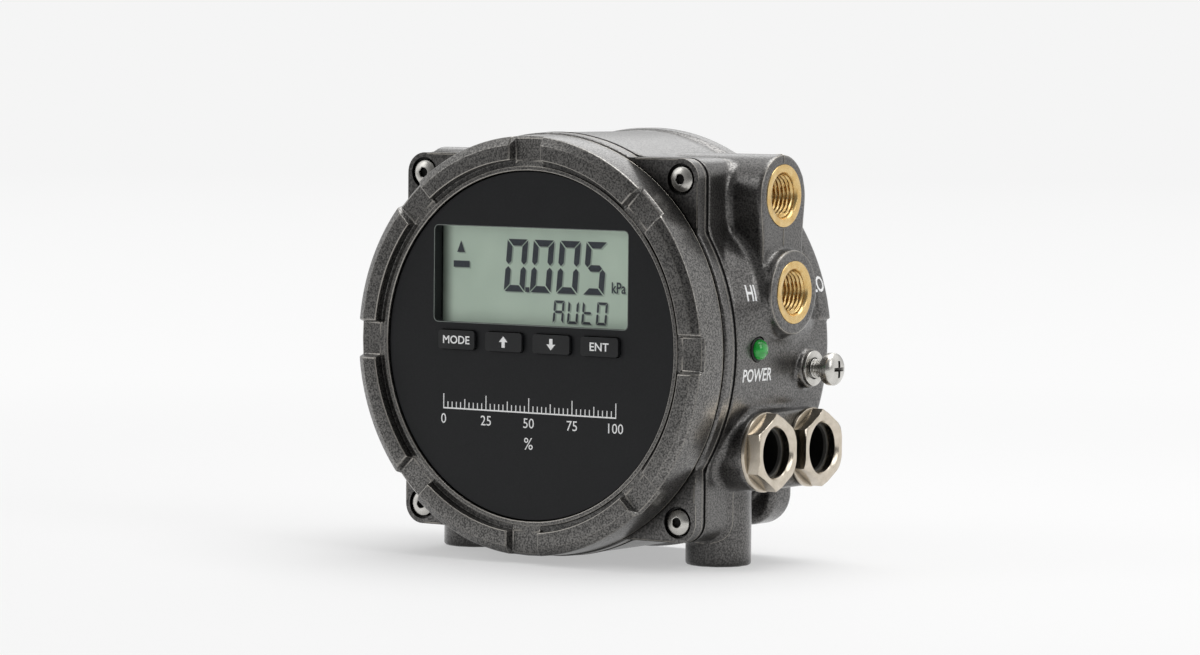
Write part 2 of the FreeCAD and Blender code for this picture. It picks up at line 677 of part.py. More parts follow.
far_x = root(groove_outer * groove_outer - half_gap * half_gap)
diagonal = math.sqrt(0.5)
groove = [
    (near_x, half_gap),
    (far_x, half_gap, groove_outer, 1),
    ((far_x + half_gap) * diagonal, (far_x - half_gap) * diagonal),
    ((near_x + half_gap) * diagonal, (near_x - half_gap) * diagonal, lip_outer, -1),
]
first_groove = outline(ring, "Groove", "Pocket", "XY", ring_front, groove_floor, [groove])
round_about(ring, "Grooves", first_groove, 8)

# Flat seal that travels with the bezel ring
seal = new_body("bezel_seal")
seal_ring = [(ZERO, ZERO, fascia_rim), (ZERO, ZERO, lip_outer)]
circles(seal, "Seal", "Pad", "XY", collar_front + z.fascia_flange, ring_under, seal_ring)

# Fascia: black face plate with the display window and the key openings
fascia = new_body("fascia")
circles(fascia, "Rim", "Pad", "XY", collar_front, collar_front + z.fascia_flange, [(ZERO, ZERO, fascia_rim)])
circles(fascia, "Face", "Pad", "XY", collar_front, fascia_front, [(ZERO, ZERO, face_radius)])
lens_width = z.window_width + z.lens_overlap * 2
lens_height = z.window_height + z.lens_overlap * 2
panel_width = lens_width - z.panel_margin * 2
panel_height = lens_height - z.panel_margin * 2
frame_width = panel_width + z.fit_gap * 2 + z.frame_wall
frame_height = panel_height + z.fit_gap * 2 + z.frame_wall
top_post = window_up + frame_height / 2 + z.post_gap + z.post_radius
post_reach = display_radius - z.post_margin
post_drop = root(post_reach * post_reach - z.lower_post_x * z.lower_post_x)
post_spots = [(ZERO, top_post), (z.lower_post_x, -post_drop), (-z.lower_post_x, -post_drop)]
posts = [spot + (z.post_radius,) for spot in post_spots]
post_holes = [spot + (z.board_screw_radius + z.fit_gap,) for spot in post_spots]
post_screws = [spot + (z.board_screw_radius,) for spot in post_spots]
post_heads = [spot + (z.board_head_radius,) for spot in post_spots]
circles(fascia, "Posts", "Pad", "XY", collar_front, display_front, posts)
window = rounded(ZERO, window_up, z.window_width, z.window_height, z.window_corner)
outline(fascia, "Window", "Pocket", "XY", fascia_front, collar_front, [window])
rebate = rectangle(ZERO, window_up, lens_width + z.fit_gap * 2, lens_height + z.fit_gap * 2)
outline(fascia, "LensRebate", "Pocket", "XY", collar_front, lens_front, [rebate])
key_places = [("key_mode", -1.5), ("key_up", -0.5), ("key_down", 0.5), ("key_enter", 1.5)]
openings = []
pockets = []
for label, place in key_places:
    x = z.key_pitch * place
    width = z.key_width + z.key_gap * 2
    height = z.key_height + z.key_gap * 2
    openings.append(rounded(x, key_up, width, height, z.key_corner + z.key_gap))
    pockets.append(rectangle(x, key_up, width + z.key_ear * 2, height))
outline(fascia, "KeyOpenings", "Pocket", "XY", fascia_front, collar_front, openings)
key_stop = collar_front + z.key_pocket
outline(fascia, "KeyPockets", "Pocket", "XY", collar_front, key_stop, pockets)
post_floor = display_front + z.board_screw_grip + z.board_tip_gap
circles(fascia, "PostHoles", "Pocket", "XY", display_front, post_floor, post_holes)

# Keys: each slides in its opening and is kept in by its two ears
key_rear = key_stop - z.key_ear_thickness
for label, place in key_places:
    key = new_body(label)
    x = z.key_pitch * place
    ear_plate = rectangle(x, key_up, z.key_width + z.key_ear * 2, z.key_height)
    outline(key, "Ears", "Pad", "XY", key_rear, key_stop, [ear_plate])
    cap = rounded(x, key_up, z.key_width, z.key_height, z.key_corner)
    outline(key, "Cap", "Pad", "XY", key_stop, fascia_front + z.key_proud, [cap])

# Clear lens behind the window
lens = new_body("window_lens")
lens_plate = rectangle(ZERO, window_up, lens_width, lens_height)
outline(lens, "Plate", "Pad", "XY", lens_front - z.lens_thickness, lens_front, [lens_plate])

# Display glass in its frame on the display board
lens_rear = lens_front - z.lens_thickness
panel_rear = lens_rear - z.panel_thickness
panel = new_body("display_glass")
panel_plate = rectangle(ZERO, window_up, panel_width, panel_height)
outline(panel, "Plate", "Pad", "XY", panel_rear, lens_rear, [panel_plate])
frame = new_body("display_frame")
frame_plate = rectangle(ZERO, window_up, frame_width, frame_height)
frame_front = collar_front - z.fit_gap
outline(frame, "Block", "Pad", "XY", display_front, frame_front, [frame_plate])
bed = rectangle(ZERO, window_up, panel_width + z.fit_gap * 2, panel_height + z.fit_gap * 2)
outline(frame, "Bed", "Pocket", "XY", frame_front, panel_rear, [bed])

# Display board behind the fascia, with one switch behind each key
display_board = new_body("display_board")
circles(display_board, "Board", "Pad", "XY", display_rear, display_front, [(ZERO, ZERO, display_radius)])
board_holes = [(x, y, radius + z.hole_gap) for x, y, radius in post_screws]
circles(display_board, "Holes", "Pocket", "XY", display_front, display_rear, board_holes)
display_screws = new_body("display_board_screws")
post_grip = display_front + z.board_screw_grip
circles(display_screws, "Shanks", "Pad", "XY", display_rear, post_grip, post_screws)
circles(display_screws, "Heads", "Pad", "XY", display_rear, display_rear - z.board_head_height, post_heads)
switches = new_body("key_switches")
switch_top = display_front + z.switch_height
switch_bodies = []
plungers = []
for label, place in key_places:
    x = z.key_pitch * place
    switch_bodies.append(rectangle(x, key_up, z.switch_body, z.switch_body))
    plungers.append((x, key_up, z.switch_plunger))
outline(switches, "Cases", "Pad", "XY", display_front, switch_top, switch_bodies)
circles(switches, "Plungers", "Pad", "XY", switch_top, key_rear - z.key_travel_gap, plungers)

# Main board on spacers that stand on the housing's posts
main_board = new_body("main_board")
circles(main_board, "Board", "Pad", "XY", main_rear, main_front, [(ZERO, ZERO, main_radius)])
main_holes = four(stud_at, stud_at, z.board_screw_radius + z.hole_gap)
circles(main_board, "Holes", "Pocket", "XY", main_front, main_rear, main_holes)
spacers = new_body("board_spacers")
spacer_hexes = [hexagon(stud_at * sx, stud_at * sy, z.spacer_radius) for sx in (-1, 1) for sy in (-1, 1)]
outline(spacers, "Hexes", "Pad", "XY", stud_top, main_rear, spacer_hexes)
pegs = four(stud_at, stud_at, z.board_screw_radius)
circles(spacers, "Pegs", "Pad", "XY", stud_top, stud_top - z.stud_height / 3, pegs)
spacer_bores = four(stud_at, stud_at, z.board_screw_radius + z.fit_gap)
spacer_floor = main_rear - z.board_screw_grip - z.board_tip_gap
circles(spacers, "Bores", "Pocket", "XY", main_rear, spacer_floor, spacer_bores)
main_screws = new_body("main_board_screws")
main_heads = four(stud_at, stud_at, z.board_head_radius)
circles(main_screws, "Shanks", "Pad", "XY", main_front, main_rear - z.board_screw_grip, pegs)
circles(main_screws, "Heads", "Pad", "XY", main_front, main_front + z.board_head_height, main_heads)
link = new_body("board_link")
link_block = rectangle(-link_x, ZERO, z.link_width, z.link_length)
outline(link, "Header", "Pad", "XY", main_front, display_rear, [link_block])

# Terminal block for the field wiring, facing the cable entries
WAYS = 6
terminal = new_body("terminal_block")
terminal_top = main_front + z.terminal_height
terminal_length = z.terminal_pitch * WAYS
terminal_plate = rectangle(terminal_x, -z.terminal_drop, z.terminal_width, terminal_length)
outline(terminal, "Block", "Pad", "XY", main_front, terminal_top, [terminal_plate])
ways = [-z.terminal_drop + z.terminal_pitch * (way - (WAYS - 1) / 2) for way in range(WAYS)]
terminal_radius = z.terminal_screw_radius + z.fit_gap
wells = [(terminal_x, way, terminal_radius) for way in ways]
well_floor = terminal_top - z.terminal_well - z.terminal_screw_radius
circles(terminal, "Wells", "Pocket", "XY", terminal_top, well_floor, wells)
entry_side = z.terminal_pitch * 0.6
entry_z = main_front + z.terminal_height * 0.35
entries = [rectangle(way, entry_z, entry_side, entry_side) for way in ways]
terminal_face = terminal_x + z.terminal_width / 2
outline(terminal, "WireEntries", "Pocket", "YZ", terminal_face, terminal_x, entries)
terminal_screws = new_body("terminal_screws")
terminal_heads = [(terminal_x, way, z.terminal_screw_radius) for way in ways]
circles(terminal_screws, "Screws", "Pad", "XY", well_floor, terminal_top - z.terminal_well, terminal_heads)
capacitors = new_body("capacitors")
cans = [(z.capacitor_radius * -3, -stud_at, z.capacitor_radius), (ZERO, -stud_at, z.capacitor_radius)]
circles(capacitors, "Cans", "Pad", "XY", main_front, main_front + z.capacitor_height, cans)

# Pressure capsule on the housing's floor: two halves and a diaphragm
base_top = z.rear_floor + z.sensor_base_height
cover_rear = base_top + z.diaphragm_thickness
cover_front = cover_rear + z.sensor_cover_height
capsule = (ZERO, z.sensor_up, z.sensor_radius)
chamber = (ZERO, z.sensor_up, z.sensor_chamber)
capsule_screws = []
for step in range(6):
    turn = math.radians(10 + 60 * step)
    x = z.sensor_screw_circle * math.cos(turn)
    y = z.sensor_up + z.sensor_screw_circle * math.sin(turn)
    capsule_screws.append((x, y, z.sensor_screw_radius))
capsule_holes = [(x, y, radius + z.fit_gap) for x, y, radius in capsule_screws]
sensor_base = new_body("sensor_base")
circles(sensor_base, "Half", "Pad", "XY", z.rear_floor, base_top, [capsule])
circles(sensor_base, "Chamber", "Pocket", "XY", base_top, base_top - z.sensor_chamber_depth, [chamber])
base_grip = base_top - z.sensor_base_height * 0.7
circles(sensor_base, "Holes", "Pocket", "XY", base_top, base_grip, capsule_holes)
diaphragm = new_body("sensor_diaphragm")
circles(diaphragm, "Disc", "Pad", "XY", base_top, cover_rear, [capsule])
circles(diaphragm, "Holes", "Pocket", "XY", cover_rear, base_top, capsule_holes)
sensor_cover = new_body("sensor_cover")
circles(sensor_cover, "Half", "Pad", "XY", cover_rear, cover_front, [capsule])
reach_up = z.lower_port_up - z.sensor_up
rim_x = root(z.sensor_radius * z.sensor_radius - reach_up * reach_up)
rim_up = z.sensor_up + root(z.sensor_radius * z.sensor_radius - z.sensor_nipple_x * z.sensor_nipple_x)
side_nipple = (z.lower_port_up, z.port_forward)
top_nipple = (z.sensor_nipple_x, z.port_forward)
side_end = rim_x + z.sensor_nipple_reach
top_end = z.upper_port_up - z.tube_bend - z.hole_gap
circles(sensor_cover, "SideNipple", "Pad", "YZ", rim_x / 2, side_end, [side_nipple + (z.nipple_radius,)])
circles(sensor_cover, "TopNipple", "Pad", "XZ", -rim_up / 2, -top_end, [top_nipple + (z.nipple_radius,)])
circles(sensor_cover, "SideBore", "Pocket", "YZ", side_end, rim_x / 2, [side_nipple + (z.nipple_bore,)])
circles(sensor_cover, "TopBore", "Pocket", "XZ", -top_end, -rim_up / 2, [top_nipple + (z.nipple_bore,)])
cover_chamber = cover_rear + z.sensor_chamber_depth
circles(sensor_cover, "Chamber", "Pocket", "XY", cover_rear, cover_chamber, [chamber])
circles(sensor_cover, "Holes", "Pocket", "XY", cover_front, cover_rear, capsule_holes)
sensor_screws = new_body("sensor_screws")
sensor_heads = [(x, y, z.sensor_head_radius) for x, y, radius in capsule_screws]
circles(sensor_screws, "Shanks", "Pad", "XY", cover_front, base_grip + z.board_tip_gap, capsule_screws)
circles(sensor_screws, "Heads", "Pad", "XY", cover_front, cover_front + z.sensor_head_height, sensor_heads)

# Brass port inserts with a hose nipple on the inside
tube_bore = z.nipple_radius + z.fit_gap
bend_start = z.sensor_nipple_x + z.tube_bend
for label, face, up, tip in (
    ("upper_port_insert", upper_port_face, z.upper_port_up, bend_start + z.nipple_bend_gap),
    ("lower_port_insert", lower_port_face, z.lower_port_up, lower_insert_end - z.lower_nipple_reach),
):
    insert = side_body(label, face, up, z.port_forward)
    nipple_end = tip - face
    bore_floor = z.insert_proud - z.port_bore_depth
    chamfer = z.insert_proud * 2
    turned(insert, "Section", [
        (z.nipple_bore, nipple_end),
        (z.nipple_radius, nipple_end),
        (z.nipple_radius, -z.insert_length),
        (z.insert_radius, -z.insert_length),
        (z.insert_radius, z.insert_proud),
        (z.port_bore_radius + chamfer, z.insert_proud),
        (z.port_bore_radius, z.insert_proud - chamfer),
        (z.port_bore_radius, bore_floor),
        (z.nipple_bore, bore_floor),
    ])

# Soft tubes from the ports to the capsule
lower_tube = new_body("lower_tube")
lower_ring = [side_nipple + (tube_radius,), side_nipple + (tube_bore,)]
tube_low = reach_up - tube_radius
lower_start = root(z.sensor_radius * z.sensor_radius - tube_low * tube_low) + z.tube_end_gap
lower_stop = lower_insert_end - z.tube_end_gap
circles(lower_tube, "Tube", "Pad", "YZ", lower_start, lower_stop, lower_ring)
upper_tube = new_body("upper_tube")
upper_start = upper_insert_end - z.tube_end_gap
tube_left = z.sensor_nipple_x - tube_radius
tube_rim = root(z.sensor_radius * z.sensor_radius - tube_left * tube_left)
upper_stop = z.sensor_up + tube_rim + z.tube_end_gap
path = new_sketch(upper_tube, "Route", "XY", z.port_forward)
draw_loop(path, [
    (upper_start, z.upper_port_up),
    (bend_start, z.upper_port_up, z.tube_bend, 1),
    (z.sensor_nipple_x, z.upper_port_up - z.tube_bend),
    (z.sensor_nipple_x, upper_stop),
], closed=False)
section = new_sketch(upper_tube, "Section", "YZ", upper_start)
upper_axis = (z.upper_port_up, z.port_forward)
draw_circles(section, [upper_axis + (tube_radius,), upper_axis + (tube_bore,)])
pipe = upper_tube.newObject("PartDesign::AdditivePipe", "Tube")
pipe.Profile = section
pipe.Spine = path

# Cable entry bushings with a rubber seal inside
for word, forward in (("front", front_gland), ("rear", rear_gland)):
    bushing = side_body(word + "_gland_bushing", gland_face, -z.gland_drop, forward)
    hex_top = z.gland_collar_thickness + z.gland_hex_height
    axis = (ZERO, ZERO)
    thread = [axis + (z.gland_thread_radius,)]
    circles(bushing, "Thread", "Pad", "XY", -z.gland_thread_length, ZERO, thread)
    collar = [axis + (z.gland_collar_radius,)]
    circles(bushing, "Collar", "Pad", "XY", ZERO, z.gland_collar_thickness, collar)
    hex_loop = hexagon(ZERO, ZERO, z.gland_hex_corner)
    outline(bushing, "Hex", "Pad", "XY", z.gland_collar_thickness, hex_top, [hex_loop])
    flat = z.gland_hex_corner * math.cos(math.radians(30))
    crown = z.gland_hex_corner - flat
    turned(bushing, "Crown", [
        (flat, hex_top),
        (z.gland_hex_corner + crown, hex_top - crown),
        (z.gland_hex_corner + crown, hex_top),
    ], "Groove")
    bore = [axis + (z.gland_bore_radius,)]
    circles(bushing, "Bore", "Pocket", "XY", hex_top, -z.gland_seal_depth, bore)
    seat = [axis + (z.gland_seal_radius,)]
    circles(bushing, "SealSeat", "Pocket", "XY", -z.gland_seal_depth, -z.gland_thread_length, seat)
    mouth = z.gland_bore_radius / 8
    turned(bushing, "Mouth", [
        (z.gland_bore_radius - mouth, hex_top),
        (z.gland_bore_radius - mouth, hex_top - mouth * 2),
        (z.gland_bore_radius + mouth, hex_top),
    ], "Groove")
    grommet = side_body(word + "_gland_seal", gland_face, -z.gland_drop, forward)
    seal_outer = z.gland_seal_radius - z.fit_gap
    seal_end = -z.gland_seal_depth - z.gland_seal_length
    seal_round = [axis + (seal_outer,), axis + (z.gland_seal_bore,)]
    circles(grommet, "Seal", "Pad", "XY", seal_end, -z.gland_seal_depth, seal_round)

# Power lamp: green lens in a rimmed holder
holder = side_body("lamp_holder", led_seat, z.led_up, led_forward)
stem_bore = z.led_stem_radius + z.fit_gap
turned(holder, "Section", [
    (stem_bore, -z.led_reach),
    (z.led_holder_radius, -z.led_reach),
    (z.led_holder_radius, ZERO),
    (z.led_rim_radius, ZERO),
    (z.led_rim_radius, z.led_rim_thickness),
    (stem_bore, z.led_rim_thickness),
])
lamp = side_body("lamp_lens", led_seat, z.led_up, led_forward)
dome_start = z.led_rim_thickness
turned(lamp, "Section", [
    (ZERO, -z.led_reach),
    (z.led_stem_radius, -z.led_reach),
    (z.led_stem_radius, dome_start),
    (z.led_radius, dome_start),
    (z.led_radius, dome_start + z.led_height / 3),
    (z.led_radius * 0.7, dome_start + z.led_height * 0.8),
    (z.led_radius * 0.3, dome_start + z.led_height),
    (ZERO, dome_start + z.led_height),
])

# Earth screw with its captive lock washer, and the flat washer on the boss
flat_washer = side_body("ground_washer", ground_face, -z.ground_drop, z.ground_forward)
washer_bore = z.ground_screw_radius + z.hole_gap
washer_round = [(ZERO, ZERO, z.ground_washer_radius), (ZERO, ZERO, washer_bore)]
circles(flat_washer, "Washer", "Pad", "XY", ZERO, z.ground_washer_thickness, washer_round)
lock_washer = side_body("ground_lock_washer", ground_face, -z.ground_drop, z.ground_forward)
lock_rear = z.ground_screw_exposed - z.ground_lock_thickness
lock_round = [(ZERO, ZERO, z.ground_lock_radius), (ZERO, ZERO, washer_bore)]
circles(lock_washer, "Washer", "Pad", "XY", lock_rear, z.ground_screw_exposed, lock_round)
ground = side_body("ground_screw", ground_face, -z.ground_drop, z.ground_forward)
ground_head = z.ground_screw_exposed
ground_top = ground_head + z.ground_head_height
turned(ground, "Section", [
    (ZERO, -z.ground_screw_engaged),
    (z.ground_screw_radius, -z.ground_screw_engaged),
    (z.ground_screw_radius, ground_head),
    (z.ground_head_radius, ground_head),
    (z.ground_head_radius, ground_head + z.ground_head_height / 2),
    (z.ground_head_radius * 0.8, ground_top - z.ground_head_height / 8),
    (z.ground_head_radius * 0.5, ground_top),
    (ZERO, ground_top),
])
slot_floor = ground_top - z.ground_head_height * 0.5
slot_length = z.ground_head_radius * 1.1
slot_width = z.ground_head_radius * 0.26
cross = [
    (slot_width / 2, slot_width / 2),
    (slot_width / 2, slot_length / 2),
    (-slot_width / 2, slot_length / 2),
    (-slot_width / 2, slot_width / 2),
    (-slot_length / 2, slot_width / 2),
    (-slot_length / 2, -slot_width / 2),
    (-slot_width / 2, -slot_width / 2),
    (-slot_width / 2, -slot_length / 2),
    (slot_width / 2, -slot_length / 2),
    (slot_width / 2, -slot_width / 2),
    (slot_length / 2, -slot_width / 2),
    (slot_length / 2, slot_width / 2),
]
outline(ground, "CrossRecess", "Pocket", "XY", ground_top, slot_floor, [cross])

doc.recompute()

# Nothing is written unless every feature was built and every cut cuts.
for item in doc.Objects:
    if "Invalid" in item.State or "Error" in item.State:
        raise RuntimeError("not built: " + item.Name)
    if item.TypeId in ("PartDesign::Pocket", "PartDesign::Groove", "PartDesign::Pad"):
        before = item.BaseFeature.Shape.Volume if item.BaseFeature else 0.0
        grew = item.Shape.Volume > before + 1e-6
        shrank = item.Shape.Volume < before - 1e-6
        right = grew if item.TypeId == "PartDesign::Pad" else shrank
        if not right:
            raise RuntimeError("no effect: %s %s" % (item.getParentGeoFeatureGroup().Name, item.Name))
for node in nodes:
    if node.Shape.isNull() or not node.Shape.isValid() or not node.Shape.Solids:
        raise RuntimeError("bad shape: " + node.Label)
os.makedirs("parts", exist_ok=True)
for node in nodes:
    node.Shape.exportStep("parts/%s.step" % node.Label)
print("ok", len(nodes))
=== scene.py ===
import math

import bmesh
import bpy
import numpy as np
from mathutils import Matrix, Vector
from mathutils.bvhtree import BVHTree


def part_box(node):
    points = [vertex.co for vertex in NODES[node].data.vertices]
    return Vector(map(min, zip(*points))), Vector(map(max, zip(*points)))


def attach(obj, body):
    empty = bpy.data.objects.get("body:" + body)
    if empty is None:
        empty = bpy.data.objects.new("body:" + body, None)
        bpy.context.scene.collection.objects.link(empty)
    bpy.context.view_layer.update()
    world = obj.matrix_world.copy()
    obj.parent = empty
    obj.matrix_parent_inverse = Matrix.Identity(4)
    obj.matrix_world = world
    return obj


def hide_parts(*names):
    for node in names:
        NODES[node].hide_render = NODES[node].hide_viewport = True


# Looks of a differential pressure transmitter: powder-coated castings, a black keyed face with a display,
# brass ports, plated cable entries and an earth screw. Shapes are worked out in millimetres in the part's
# own frame (+Z up, the display faces -Y, the ports are on +X) and become metres when a mesh is made.
# "forward" is the distance from the rear face towards the display, which is -Y.

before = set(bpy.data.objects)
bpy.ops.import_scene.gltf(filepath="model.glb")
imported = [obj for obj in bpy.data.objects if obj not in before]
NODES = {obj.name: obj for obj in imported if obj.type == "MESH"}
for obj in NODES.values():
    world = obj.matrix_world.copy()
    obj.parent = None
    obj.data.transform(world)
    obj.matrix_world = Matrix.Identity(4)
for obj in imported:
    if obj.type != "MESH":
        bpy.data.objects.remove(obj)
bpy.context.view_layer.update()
MM = 0.001
TINY = 1e-7
FULL_TURN = 2 * math.pi


def corners(node):
    """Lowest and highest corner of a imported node, in millimetres."""
    low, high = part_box(node)
    return np.array(low) / MM, np.array(high) / MM


def middle(node):
    low, high = corners(node)
    return (low + high) / 2


def front(node):
    """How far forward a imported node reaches."""
    return -corners(node)[0][1]


def side_ends(node):
    """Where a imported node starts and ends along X."""
    low, high = corners(node)
    return low[0], high[0]


# Places that the frame gives
JOINT = front("housing")
LOWER_PORT_FACE = side_ends("housing")[1]
SOLE = -corners("housing")[0][2]
UPPER_PORT = middle("upper_port_insert")
LOWER_PORT = middle("lower_port_insert")
PORT_FORWARD = -LOWER_PORT[1]
FRONT_GLAND = middle("front_gland_bushing")
REAR_GLAND = middle("rear_gland_bushing")
LAMP = middle("lamp_lens")
EARTH = middle("ground_screw")
RING_OUTER = side_ends("bezel_ring")[1]
RING_REAR = -corners("bezel_ring")[1][1]
RING_FRONT = front("bezel_ring")
COLLAR_FRONT = front("front_flange")
FASCIA_FRONT = front("fascia")
KEY_FRONT = front("key_mode")
GLASS_FRONT = front("display_glass")

# Sizes of the castings, in millimetres
DRUM_RADIUS = 64.5
DRUM_WALL = 5.5
REAR_FLOOR = 8.0
REAR_ROUNDING = 3.0
FRONT_ROUNDING = 0.5
BEAD_HEIGHT = 1.0
BEAD_END = 8.6
BEAD_BREAK = (-30.5, 8.0)
EAR_HALF = (53.9, 57.5)
EAR_CORNER = 6.2
EAR_DEPTH = 15.0
PAD_HALF = (51.5, 56.0)
PAD_CORNER = 10.0
PAD_DEPTH = 12.0
FOOT_PLACE = (45.6, 33.0)
FOOT_RADIUS = 10.0
FLANGE_FRONT = 58.6
UPPER_PORT_FACE = 66.0
UPPER_BOSS_RADIUS = 12.4
LOWER_BOSS_RADIUS = 12.8
LEFT_BOSS_FACE = -62.0
SWELL_HEIGHT = 4.4
SWELL_REACH = 10.0
WAIST = 1.3
GLAND_FACE = 64.5
GLAND_BOSS_RADIUS = 11.8
EARTH_FACE = 66.0
EARTH_BOSS_RADIUS = 6.1
LAMP_SEAT = 64.2
SCREW_PLACE = (47.7, 51.3)
MOUNT_PLACE = (41.5, 46.0)
STUD_PLACE = (35.0, 35.0)
STUD_TOP = 20.0
STUD_RADIUS = 4.0
EARTH_BACKING = (52.5, 60.5)
EARTH_TAP_DEPTH = 12.0
EARTH_TAP_RADIUS = 3.0
GLAND_HOLE_RADIUS = 9.85
FIT = 0.05
# How far the casting runs on before it is cut, where cutters end, and the cells of the casting's grid
SPARE = 6.0
OUTSIDE = 80.0
GRID = 0.8

# Sizes of the ring
RING_BORE = 58.3
RING_OPENING = 53.1
LIP_OUTER = 54.5
GROOVE_OUTER = 56.4
NOTCH_HALF = 5.5
NOTCH_DEPTH = 2.8
NOTCHES = 8
WALL_REACH = 8.5

# Sizes of the small parts
INSERT_RADIUS = 9.5
INSERT_LENGTH = 12.5
PASSAGE_RADIUS = 3.6
PORT_PITCH = 1.411
PORT_ROOT = 6.6
PORT_CREST = 6.02
NIPPLE_RADIUS = 2.2
NIPPLE_BORE = 1.2
COLLAR_PITCH = 1.5
EARTH_PITCH = 1.0
HEX_FLAT = 11.8 * math.cos(math.radians(30))
GLAND_BORE = 7.6
SEAL_TOP = 58.5
LAMP_RADIUS = 3.1
LAMP_RIM = 3.75
HEAD_RADIUS = 4.15
HEAD_RISE = 2.2
SOCKET_FLAT = 1.75 * math.cos(math.radians(30))
LENS_OVERLAP = 0.9
LENS_CORNER = 1.5
# Where along X the painted shadow of the window's left edge fades out on the display panel.
PANEL_SHADE = (-36.8, -31.6)
WORN_SINK = 0.07


# Colours and shader nodes


def colour(value):
    """A linear colour from an sRGB hex code or from a grey level."""
    if not isinstance(value, str):
        return (value, value, value, 1.0)
    parts = [int(value[i:i + 2], 16) / 255 for i in (1, 3, 5)]
    return [c / 12.92 if c <= 0.04045 else ((c + 0.055) / 1.055) ** 2.4 for c in parts] + [1.0]


def feed(tree, node, inputs):
    """Sets a node's inputs, each to a value or another node's output."""
    for name, value in inputs.items():
        if isinstance(value, bpy.types.NodeSocket):
            tree.links.new(value, node.inputs[name])
        else:
            node.inputs[name].default_value = value


def add(tree, kind, inputs=None, **settings):
    """A new node with its settings and its inputs."""
    made = tree.nodes.new(kind)
    for name, value in settings.items():
        setattr(made, name, value)
    feed(tree, made, inputs or {})
    return made


def emptied(holder):
    """The node tree of a material or a world, cleared."""
    holder.use_nodes = True
    holder.node_tree.nodes.clear()
    return holder.node_tree


def ramp(tree, fac, *stops):
    """A colour ramp with stops of (place, hex code or grey level)."""
    made = add(tree, "ShaderNodeValToRGB", {"Fac": fac})
    elements = made.color_ramp.elements
    for element, (place, value) in zip(elements, (stops[0], stops[-1])):
        element.position = place
        element.color = colour(value)
    for place, value in stops[1:-1]:
        elements.new(place).color = colour(value)
    return made.outputs["Color"]


def blend(tree, first, second, factor=1.0, kind="MULTIPLY"):
    """Two colours multiplied or mixed. A colour mix has its inputs at 6 and 7 and its output at 2."""
    made = add(tree, "ShaderNodeMix", {"Factor": factor, 6: first, 7: second}, data_type="RGBA",
               blend_type=kind)
    return made.outputs[2]


def eased(tree, value, low, high, start, kind="SMOOTHSTEP"):
    """A value brought from the range low to high into start to 1."""
    made = add(tree, "ShaderNodeMapRange", {
        "Value": value, "From Min": low, "From Max": high, "To Min": start}, interpolation_type=kind)
    return made.outputs["Result"]


def maths(tree, operation, *values, kind="Math"):
    made = add(tree, "ShaderNode" + kind, dict(enumerate(values)), operation=operation)
    return made.outputs["Value"]


def noise(tree, coords, size, detail=3.0):
    """Noise with features of that size in millimetres, on coordinates in metres."""
    made = add(tree, "ShaderNodeTexNoise", {"Vector": coords, "Scale": 1.0 / (size * MM), "Detail": detail})
    return made.outputs["Fac"]


def relief(tree, height, depth, strength=0.6):
    """Bump of that depth in millimetres."""
    made = add(tree, "ShaderNodeBump", {"Height": height, "Distance": depth * MM, "Strength": strength})
    return made.outputs["Normal"]


def painted_recess_shade(tree, base, reach, deep):
    """The colour dimmed by painted shade in recesses narrower than about that reach in millimetres."""
    open_air = add(tree, "ShaderNodeAmbientOcclusion", {"Distance": reach * MM}, samples=6).outputs["AO"]
    return blend(tree, base, ramp(tree, open_air, (0.30, deep), (0.80, 1.0)))


def finish(name, **constants):
    """A material with one shader, whose sockets are set to these constants."""
    material = bpy.data.materials.new(name)
    tree = emptied(material)
    shader = add(tree, "ShaderNodeBsdfPrincipled")
    feed(tree, shader, {socket.replace("_", " "): value for socket, value in constants.items()})
    add(tree, "ShaderNodeOutputMaterial", {"Surface": shader.outputs["BSDF"]})
    coords = add(tree, "ShaderNodeTexCoord").outputs["Object"]
    return material, tree, shader, coords


def powder_coat(name, dark, light, rub_and_highlight_share):
    """Aluminium casting under a dark metallic coat: fine speckled grain, convex edges lightened as rubbed
    coat and painted highlight, painted shade in recesses.
    """
    material, tree, shader, coords = finish(name, Metallic=0.88, Coat_Weight=0.6, Coat_Roughness=0.24)
    grain = noise(tree, coords, 0.55)
    base = ramp(tree, grain, (0.38, dark), (0.64, light))
    # Convex edges mixed towards a pale colour: coat rubbed thin, and painted highlight.
    edge_wear_and_highlight = add(tree, "ShaderNodeAttribute", attribute_name="edge").outputs["Fac"]
    edged = blend(tree, base, colour("#b9b4ac"), ramp(tree, edge_wear_and_highlight, (0.20, 0.0), (0.85, rub_and_highlight_share)), "MIX")
    cloud = ramp(tree, noise(tree, coords, 12.0, 2.0), (0.3, 0.92), (0.7, 1.0))
    feed(tree, shader, {
        "Base Color": painted_recess_shade(tree, blend(tree, edged, cloud), 10.0, 0.12),
        "Roughness": ramp(tree, grain, (0.3, 0.36), (0.7, 0.27)),
        "Normal": relief(tree, grain, 0.06),
    })
    return material


def turned_metal(name, dark, light, roughness, deep=0.12, metallic=1.0, reach=2.0):
    """Turned metal: handling smears in the gloss, darkened by painted shade in recesses."""
    material, tree, shader, coords = finish(name, Metallic=metallic)
    smear = noise(tree, coords, 2.6, 4.0)
    base = ramp(tree, smear, (0.25, dark), (0.75, light))
    feed(tree, shader, {
        "Base Color": painted_recess_shade(tree, base, reach, deep),
        "Roughness": ramp(tree, smear, (0.2, roughness * 1.25), (0.8, roughness * 0.8)),
        "Normal": relief(tree, noise(tree, coords, 0.30, 2.0), 0.001, 0.4),
    })
    return material


